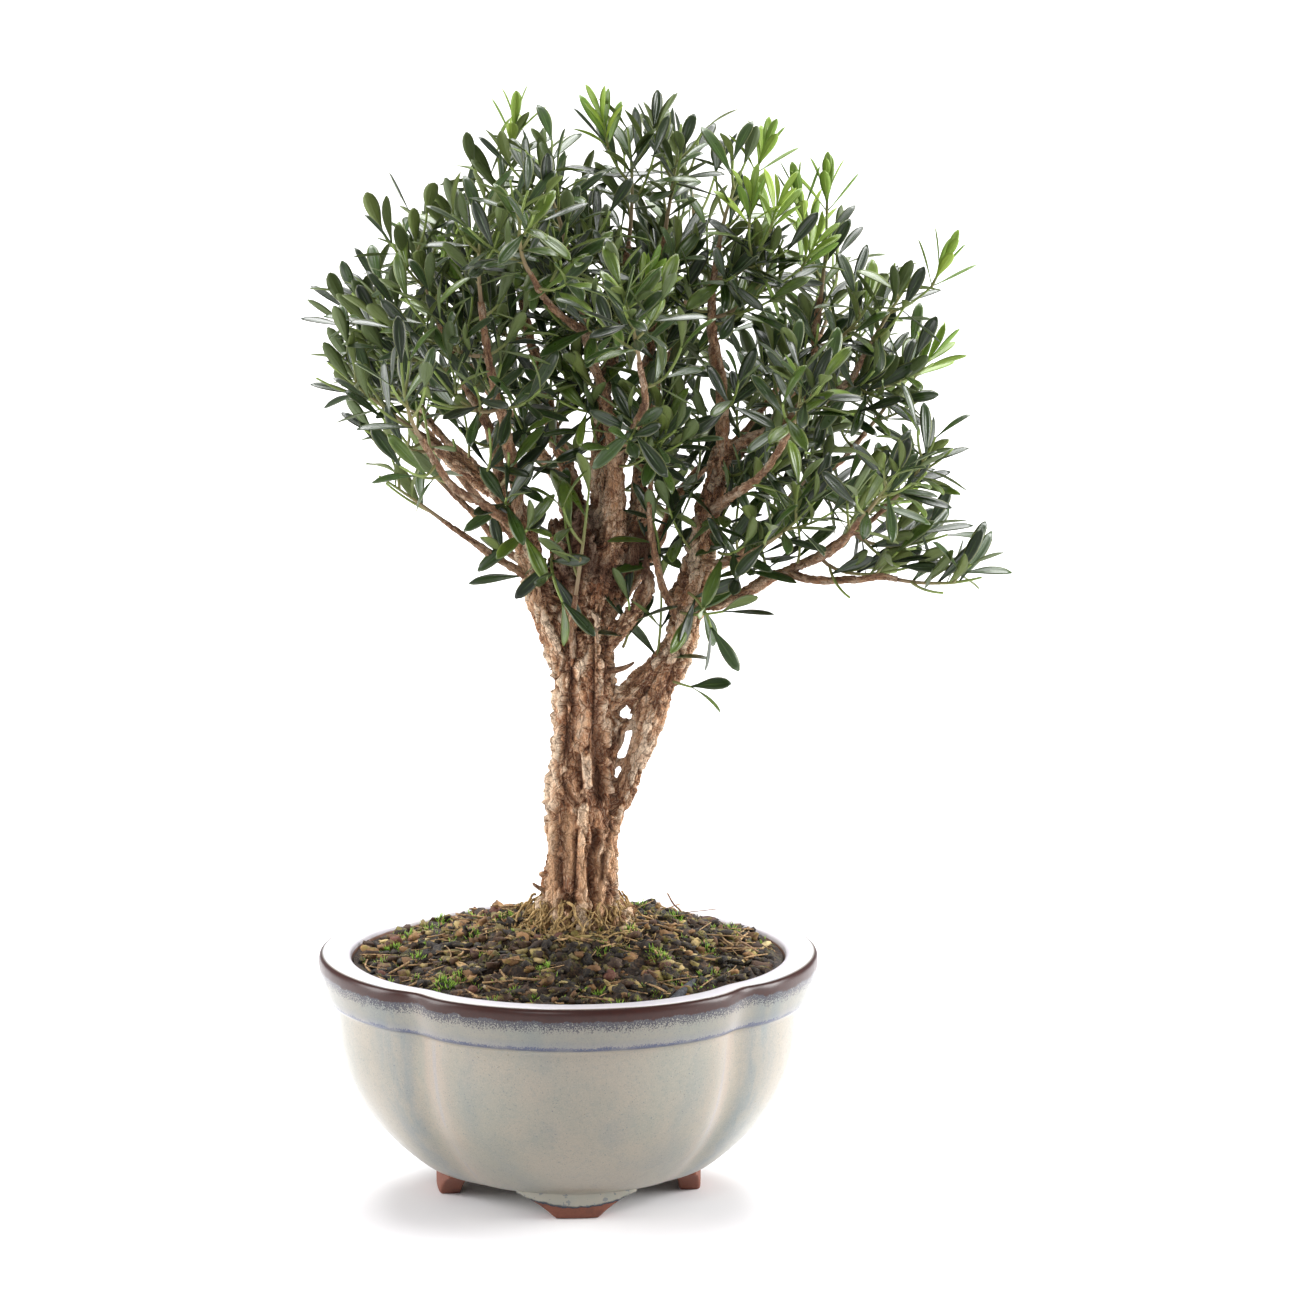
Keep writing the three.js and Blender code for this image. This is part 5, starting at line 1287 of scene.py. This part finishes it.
def main_stem(knots, share, k):
    """From the limb's tip onwards, or from its side outwards and up, away from the crown's middle."""
    knots = np.array(knots, float)
    centre = curve_through(knots[:, :3], share)
    along = unit(curve_through(knots[:, :3], min(share + 1e-4, 1))
                 - curve_through(knots[:, :3], share - 1e-4))
    length = SPRAY_LENGTH * (0.86 + 0.3 * draw(k, 1, 0))
    turn = np.radians(TURNS.get(k, 0))
    if share == 1:
        lean = np.array([draw(k, 2, 0) - 0.5, draw(k, 3, 0) - 0.5, 0.35])
        lean = turned_about(along, np.array(turn), lean)
        return centre, centre + along * length / 2, centre + unit(along + 0.7 * lean) * length
    outwards = turned_about(along, np.array(turn + np.radians(80) * (draw(k, 4, 0) - 0.5)),
                            square_part(centre - CROWN_MIDDLE, along))
    radius = np.interp(share * (len(knots) - 1), np.arange(len(knots)), knots[:, 3])
    start = centre + outwards * radius * 0.5
    middle = start + outwards * 0.38 * length + along * 0.05 * length
    return start, middle, start + unit(0.75 * outwards + 0.45 * along + 0.35 * UP) * length


def side_stem(main, k, number):
    """From an axil of the main stem, outwards and up, each on another side and shorter than the last."""
    at = 0.16 + 0.17 * number
    centre, along = arc(main, at), heading_at(main, at)
    turn = np.radians(180 * number + 90 * (number // 2) + 40 * draw(k, 5, number))
    side = turned_about(along, np.array(turn), square_part(first_side(main), along))
    side = unit(np.maximum(side, (-1, -1, SHOOT_SAG)))
    length = np.linalg.norm(main[2] - main[0]) * (0.62 - 0.09 * number)
    end = centre + 0.75 * length * along + 0.62 * length * side + 0.12 * length * UP
    return centre, centre + 0.3 * length * along + 0.4 * length * side, end


def leaves_on(stem, pairs, k, shoot):
    """Roots, headings, upper faces, lengths and widths of a stem's leaves, as arrays. Pairs stand
    square to each other, the lower ones wide open and the last pair nearly closed."""
    pair, hand = (v.ravel() for v in np.meshgrid(np.arange(pairs), np.arange(2), indexing="ij"))
    last = pair == pairs - 1
    at = np.where(last, 0.985, 0.14 + 0.84 * ((pair + 0.35) / pairs))
    along = heading_at(stem, at)
    seed = 100 * shoot + 2 * pair + hand
    turn = np.radians(90 * pair + 180 * hand + 45 + 30 * (draw(k, seed, 6) - 0.5))
    side = turned_about(along, turn, square_part(first_side(stem), along))
    opening = np.where(last, 24, 62 - 20 * pair / max(pairs - 1, 1))
    opening = np.radians(opening + 16 * (draw(k, seed, 7) - 0.5))
    heading = along * np.cos(opening)[:, None] + side * np.sin(opening)[:, None]
    face = square_part(along + 0.55 * UP, heading)
    length = LEAF_LENGTH * (0.86 + 0.28 * draw(k, seed, 8)) * np.where(last, 0.86, 1)
    width = LEAF_WIDTH * (0.88 + 0.24 * draw(k, seed, 9))
    tone = draw(k, seed, 10)
    return arc(stem, at - 0.02 * hand), heading, face, length, width, tone, np.zeros(len(at))


def clipped(leaves, k):
    """The leaves without those that would stand out of the crown: they thin out towards its edge."""
    root, heading, _, length = leaves[:4]
    order = np.arange(len(root))
    loose = 7 - 20 * draw(k, order, 18) ** 1.6
    tip, middle = root + heading * length[:, None], root + heading * length[:, None] / 2
    u, w = seen(middle)
    missing = LEAVES_MISSING
    for across, above, reach, share in THIN_SPOTS:
        missing = missing + share * np.exp(-((u - across) ** 2 + (w - above) ** 2) / reach ** 2)
    kept = trimmed(tip, loose) & trimmed(middle, 10) & (draw(k, order, 19) > missing)
    return tuple(part[kept] for part in leaves)


def blades(root, heading, face, length, width, tone, young):
    """Closed thin blades. Along the leaf the half width follows OUTLINE, and across it the blade is
    bent up from a shallow groove on the midrib and rolled down at its edges; the tip droops. It is
    thicker at the stalk. Upper and lower skins meet at the edge."""
    count = len(root)
    t = np.linspace(0, 1, LEAF_ALONG) ** 0.8
    v = np.linspace(-1, 1, LEAF_ACROSS)
    half = np.interp(t, *np.array(OUTLINE).T)
    droop = 0.3 * (tone - 0.3)
    curl = length[:, None] * droop[:, None] * t ** 2
    across = np.cross(face, heading)
    cup = (0.3 * np.abs(v) - 0.16 * v ** 2)
    thick = LEAF_THICKNESS / 2 * (1 - v ** 2) * (np.sqrt(half) + 1.2 * smooth(0.24, 0, t))[:, None]
    line = root[:, None] + heading[:, None] * (length[:, None] * t)[..., None]
    line = line - face[:, None] * curl[..., None]
    wide = (half * width[:, None] / 2)[..., None, None] * v[:, None] * across[:, None, None]
    lift = (half * width[:, None])[..., None] * cup
    upper = line[:, :, None] + wide + (lift + thick)[..., None] * face[:, None, None]
    lower = line[:, :, None] + wide + (lift - thick)[..., None] * face[:, None, None]
    loop = np.concatenate([upper, lower[:, :, -2:0:-1]], 2)
    around = loop.shape[2]
    under = np.concatenate([np.where(np.abs(v) == 1, 0.5, 0), np.ones(LEAF_ACROSS - 2)])
    from_rib = np.concatenate([np.abs(v), np.abs(v[-2:0:-1])])
    marks = {
        "under": np.tile(under, count * LEAF_ALONG),
        "from_rib": np.tile(from_rib, count * LEAF_ALONG),
        "along": np.tile(np.repeat(t, around), count),
        "tone": np.repeat(tone, LEAF_ALONG * around),
        "young": np.repeat(young, LEAF_ALONG * around),
        "stem": np.zeros(count * LEAF_ALONG * around),
    }
    faces = [repeated(part, count, LEAF_ALONG * around) for part in tube_faces(LEAF_ALONG, around)]
    return loop.reshape(-1, 3), faces, marks


def stems(lines, k):
    """Thin tubes for the shoots, old and brown where they leave the limb and green at the tip."""
    t = np.linspace(0, 1, 9)
    parts, ages = [], []
    for i, line in enumerate(lines):
        base = STEM_RADIUS if i == 0 else 0.68
        points, faces, _ = tube(arc(line, t), base + (STEM_TIP - base) * t, 6)
        parts.append((points, faces))
        ages.append(np.repeat(t if i == 0 else 0.5 + 0.5 * t, 6))
    points, faces = joined(parts)
    along = np.concatenate(ages)
    zero = np.zeros(len(points))
    marks = {"under": zero, "from_rib": zero, "along": along, "young": zero,
             "tone": np.full(len(points), draw(k, 0, 11)), "stem": np.ones(len(points))}
    return points, faces, marks


def fresh_tip(stem, k):
    """New growth on a shoot's tip: its stem and four narrow upright pairs of soft light leaves."""
    start = arc(stem, 0.97)
    along = unit(heading_at(stem, 1.0) + 0.7 * UP)
    pair, hand = (v.ravel() for v in np.meshgrid(np.arange(4), np.arange(2), indexing="ij"))
    turn = np.radians(90 * pair + 180 * hand + 360 * draw(k, 0, 12))
    side = turned_about(along, turn, square_part(np.array([0.6, 0.7, 0.1]), along))
    opening = np.radians(40 - 8 * pair + 14 * (draw(k, 2 * pair + hand, 13) - 0.5))
    heading = along * np.cos(opening)[:, None] + side * np.sin(opening)[:, None]
    root = start + along * (3.2 * pair)[:, None]
    length = 20 - 1.5 * pair + 4 * (draw(k, 2 * pair + hand, 14) - 0.5)
    width = 5 - 0.5 * pair
    tone = draw(k, 2 * pair + hand, 15)
    leaves = (root, heading, square_part(along + 0 * side, heading), length, width, tone, np.ones(len(pair)))
    return (start - along, start + 4.5 * along, start + 10 * along), leaves


def leaf_finish():
    """Dark glossy green above with a paler midrib and edge, dull light green below. New leaves are
    lime all over, and stems go from grey-brown to green."""
    shade, place = new_finish("boxwood_leaf")
    under, tone, young = shade.mark("under"), shade.mark("tone"), shade.mark("young")
    rib, along, stem = shade.mark("from_rib"), shade.mark("along"), shade.mark("stem")
    cloud = place.noise(160, 3, 0.6)
    midrib = rib.between(0.16, 0.02) * along.between(0.95, 0.5)
    upper = tone.ramp((0, ink(24, 37, 17)), (0.45, ink(37, 55, 21)), (0.8, ink(54, 78, 26)),
                      (1, ink(96, 118, 38)))
    upper = upper.painted(
        (cloud.between(0.4, 0.7), 0.4, ink(18, 30, 19)),
        (midrib, 0.35, ink(84, 112, 56)),
        (rib.between(0.8, 1.0), 0.6, ink(146, 148, 92)))
    lower = tone.ramp((0, ink(66, 82, 38)), (1, ink(100, 114, 52)))
    fresh = tone.ramp((0, ink(92, 124, 34)), (1, ink(136, 160, 54)))
    fresh = fresh.painted((midrib, 0.4, ink(160, 178, 84)))
    twig = along.ramp((0, ink(122, 100, 76)), (0.4, ink(124, 112, 72)), (0.75, ink(104, 118, 54)),
                      (1, ink(116, 136, 58)))
    base = upper.painted((under.between(0.35, 0.65), 1, lower), (young, 1, fresh), (stem, 1, twig))
    veins = place.noise(1400, 2) * 0.06 - midrib * 0.2
    rough = 0.24 + 0.3 * under + 0.1 * cloud + 0.12 * young + 0.3 * stem
    return shade.coat(base_color=base, roughness=rough, normal=veins.bump(1.0, 0.6),
                      specular_ior_level=0.55)


def leafy_piece(name, leaves, stem_lines, k):
    """One piece of leaves and the stems that bear them, with the marks of both."""
    leaf_points, leaf_faces, leaf_marks = blades(*(np.concatenate(part) for part in zip(*leaves)))
    stem_points, stem_faces, stem_marks = stems(stem_lines, k)
    points, faces = joined([(leaf_points, leaf_faces), (stem_points, stem_faces)])
    marks = {mark: np.concatenate([leaf_marks[mark], stem_marks[mark]]) for mark in leaf_marks}
    return new_piece(name, points, faces, LEAF, **marks)


FRESH = {
    # spray: its shoots whose tips are in new growth, -1 being the spray's own tip
    9: (2,), 12: (3,), 14: (-1,), 17: (1,), 21: (2,), 22: (-1, 3), 23: (2,), 24: (-1, 2), 27: (2,), 28: (2,),
    34: (2,), 36: (2,), 46: (1,),
}
LEAF = leaf_finish()
spray_places = [(knots, share) for knots, shares in LIMBS.values() for share in shares]
for k, (knots, share) in enumerate(spray_places):
    main = main_stem(knots, share, k)
    shoots = [side_stem(main, k, number) for number in range(SIDE_SHOOTS)]
    grown, leafy, tips = [], [], []
    for number, stem in enumerate([main, *shoots]):
        leaves = clipped(leaves_on(stem, SIDE_PAIRS if number else PAIRS, k, number), 50 * k + number)
        fresh = number - 1 in FRESH.get(k, ()) and trimmed(stem[2], 6)
        if fresh:
            tip_stem, tip_leaves = fresh_tip(stem, 10 * k + number - 1)
            tips.append(tip_stem)
            grown.append(tip_leaves)
        if len(leaves[0]) or fresh or number == 0:
            grown.append(leaves)
            leafy.append(stem)
    spray = leafy_piece(f"leafy_spray_{k + 1:02d}", grown, [*leafy, *tips], k)
    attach(spray, "root")
    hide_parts(f"spray_{k + 1:02d}")

# Inner shoots: short shoots with four pairs of leaves, which stand all along the limbs and fill the
# crown between the sprays. They grow out of the bark at every angle, more of them higher up.
SHOOT_STEP = 8                   # between two shoots along a limb, in millimetres
SHOOT_LENGTH = 24
SHOOT_PAIRS = 4
LOWEST_SHOOT, DENSE_FROM = 266, 312     # heights
SHOOT_SHARE = 0.6                # of the steps that bear a shoot where they are dense
LOW_SHOOTS = (
    # start, middle and end of single shoots low in front of the trunk and between it and its limbs, and
    # their pairs of leaves
    ((-6, -8, 262), (-8, -20, 258), (-2, -26, 246), 3), ((-16, -8, 272), (-19, -20, 270), (-16, -27, 276), 4),
    ((22, 0, 222), (26, -8, 232), (24, -10, 244), 3), ((34, 2, 206), (38, -4, 232), (37, -6, 250), 3),
    ((36, 2, 252), (38, -10, 262), (34, -14, 276), 4), ((48, -8, 246), (54, -16, 244), (57, -18, 234), 3),
    ((45, -8, 238), (50, -17, 238), (62, -20, 241), 2), ((-13, -6, 250), (-22, -12, 255), (-26, -14, 262), 2),
    ((42, -5, 209), (46, -9, 208.5), (49, -10, 208), 1),
    ((-22, -14, 284), (-26, -26, 284), (-24, -32, 290), 4),
    ((60, -6, 262), (64, -18, 262), (70, -22, 268), 4), ((66, -4, 250), (70, -14, 256), (76, -18, 264), 4),
    ((50, 0, 261), (44, -8, 268), (40, -12, 282), 4), ((56, 3, 266), (62, -2, 272), (64, -8, 286), 4),
    ((68, 11, 258), (66, 4, 268), (68, -2, 282), 4), ((79, 17, 268), (84, 10, 276), (82, 4, 290), 4),
    ((40, 18, 270), (44, 12, 282), (40, 6, 294), 4), ((50, 24, 285), (54, 18, 292), (52, 12, 304), 4),
    ((80, -8, 252), (78, -14, 262), (74, -18, 276), 4), ((91, -10, 257), (94, -16, 268), (90, -22, 282), 4),
)
LEAFLESS = ("dead_stub", "right_upper_root")


def inner_shoot(knots, share, k):
    """A stem out of the limb's side at a drawn angle, bending outwards and up."""
    knots = np.array(knots, float)
    centre = curve_through(knots[:, :3], share)
    along = unit(curve_through(knots[:, :3], share + 1e-3) - curve_through(knots[:, :3], share - 1e-3))
    away = square_part(np.array([0.3, -1.0, 0.1]), along)
    aside = turned_about(along, np.array(2 * np.pi * draw(k, 21, 0)), away)
    length = SHOOT_LENGTH * (0.7 + 0.6 * draw(k, 22, 0))
    radius = np.interp(share * (len(knots) - 1), np.arange(len(knots)), knots[:, 3])
    start = centre + aside * radius * 0.6
    end = start + unit(0.8 * aside + 0.35 * along + (0.6 * draw(k, 23, 0)) * UP) * length
    return start, start + aside * 0.4 * length, end


shoots, shoot_leaves = [], []
for number, (name, (knots, _)) in enumerate(LIMBS.items()):
    steps = int(np.linalg.norm(np.diff(np.array(knots)[:, :3], axis=0), axis=1).sum() / SHOOT_STEP)
    for step in range(1, steps):
        k = 1000 + 100 * number + step
        share = (step + 0.6 * (draw(k, 20, 0) - 0.5)) / steps
        height = curve_through(np.array(knots)[:, :3], share)[2]
        if name in LEAFLESS or draw(k, 24, 0) > SHOOT_SHARE * smooth(LOWEST_SHOOT, DENSE_FROM, height):
            continue
        shoot = inner_shoot(knots, share, k)
        if trimmed(shoot[2], 0):
            shoots.append(shoot)
            shoot_leaves.append(clipped(leaves_on(shoot, SHOOT_PAIRS, k, 0), k))
for number, (*ends, pairs) in enumerate(LOW_SHOOTS):
    shoots.append(tuple(np.array(end, float) for end in ends))
    shoot_leaves.append(leaves_on(shoots[-1], pairs, 5000 + number, 0))
inner = leafy_piece("inner_shoots", shoot_leaves, shoots, 0)
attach(inner, "root")

# Dead leaf: one long leaf that has dropped from the crown and dried to tan. It lies curled on the
# soil in front, left of the trunk.
DEAD_ROOT, DEAD_HEADING = np.array([[-46.0, -30.0, 101.5]]), unit(np.array([[0.46, -0.86, -0.12]]))
DEAD_LENGTH, DEAD_WIDTH, DEAD_TONE = np.array([[17.0], [4.4], [0.7]])
dead_face = square_part(np.array([[0.1, -0.3, 1.0]]), DEAD_HEADING)
points, faces, marks = blades(DEAD_ROOT, DEAD_HEADING, dead_face, DEAD_LENGTH, DEAD_WIDTH, DEAD_TONE,
                              np.zeros(1))


def dry_leaf_finish():
    """Tan with brown streaks and a pale midrib."""
    shade, place = new_finish("dry_leaf")
    streak = place.noise(300, 4, 0.7)
    base = streak.between(0.3, 0.7).blend(ink(198, 168, 112), ink(150, 112, 66))
    base = base.painted((shade.mark("from_rib").between(0.2, 0.0), 0.5, ink(214, 190, 140)))
    return shade.coat(base_color=base, roughness=0.75, normal=streak.bump(0.2, 0.6))


dead_leaf = new_piece("dead_leaf", points, faces, dry_leaf_finish(), **marks)
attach(dead_leaf, "root")

# Studio: the pot stands on a wide pale floor that is the whole background from the camera's height,
# under big soft lights from above, both sides and the front, seen through a long lens. A fifth light
# keeps the floor behind the pot white.
FLOOR_HALF, FLOOR_LINES = 6000, 9
AIR_COLOUR, AIR_STRENGTH = (1, 0.94, 1, 1), 0.4
LENS, SENSOR_WIDTH = 498.5, 36
FARTHEST_SEEN = 20               # metres
CAMERA_TILT = np.radians(12.67)
CAMERA_OFFSET = (0.0327, 0.2154, -7.229)     # right, up and along the view from the pot's foot
LIGHTS = {
    # name: place, point it faces, size and power
    "top_softbox": ((0.0, 0.6, 1.9), (0.0, 0.1, 0.1), 1.8, 36),
    "left_softbox": ((-1.5, -0.1, 0.55), (0.0, 0.0, 0.2), 1.0, 23),
    "right_softbox": ((1.5, 0.0, 0.55), (0.0, 0.0, 0.2), 1.0, 37),
    "front_fill": ((-0.7, -2.4, 1.3), (0.0, 0.0, 0.2), 1.0, 13),
    "floor_wash": ((0.0, 1.9, 2.4), (0.0, 1.9, 0.0), 2.4, 95),
}


def floor_sheet():
    """A flat square grid, FLOOR_HALF to each side of the pot."""
    line = np.linspace(-FLOOR_HALF, FLOOR_HALF, FLOOR_LINES)
    x, y = np.meshgrid(line, line, indexing="ij")
    return np.stack([x, y, 0 * x], -1).reshape(-1, 3), [grid_faces(FLOOR_LINES, FLOOR_LINES, around=False)]


def paper_finish():
    """Matt near-white paper with faint clouds."""
    shade, place = new_finish("pale_paper")
    grain = place.noise(3, 2)
    base = grain.blend(ink(242, 242, 243), ink(247, 247, 248))
    return shade.coat(base_color=base, roughness=0.9, specular_ior_level=0.1)


floor = new_piece("paper_floor", *floor_sheet(), paper_finish())


def aimed(thing, place, target):
    """Puts a light at a place, its -Z axis towards the target."""
    thing.location = place
    thing.rotation_euler = (Vector(target) - Vector(place)).to_track_quat("-Z", "Y").to_euler()


for name, (place, target, size, power) in LIGHTS.items():
    softbox = bpy.data.lights.new(name, "AREA")
    softbox.shape = "DISK"
    softbox.size = size
    softbox.energy = power
    lamp = bpy.data.objects.new(name, softbox)
    bpy.context.scene.collection.objects.link(lamp)
    aimed(lamp, place, target)

world = bpy.data.worlds.new("studio_air")
world.use_nodes = True
air = world.node_tree.nodes["Background"]
air.inputs["Color"].default_value = AIR_COLOUR
air.inputs["Strength"].default_value = AIR_STRENGTH
bpy.context.scene.world = world
bpy.context.scene.view_settings.view_transform = "Standard"

lens = bpy.data.cameras.new("studio_camera")
lens.lens = LENS
lens.sensor_width = SENSOR_WIDTH
lens.clip_end = FARTHEST_SEEN
camera = bpy.data.objects.new("studio_camera", lens)
bpy.context.scene.collection.objects.link(camera)
right = np.array([1, 0, 0])
upward = np.array([0, np.sin(CAMERA_TILT), np.cos(CAMERA_TILT)])
forward = np.array([0, np.cos(CAMERA_TILT), -np.sin(CAMERA_TILT)])
aside, above, away = CAMERA_OFFSET
camera.location = POT_AXIS + aside * right + above * upward + away * forward
camera.rotation_euler = (np.pi / 2 - CAMERA_TILT, 0, 0)
bpy.context.scene.camera = camera
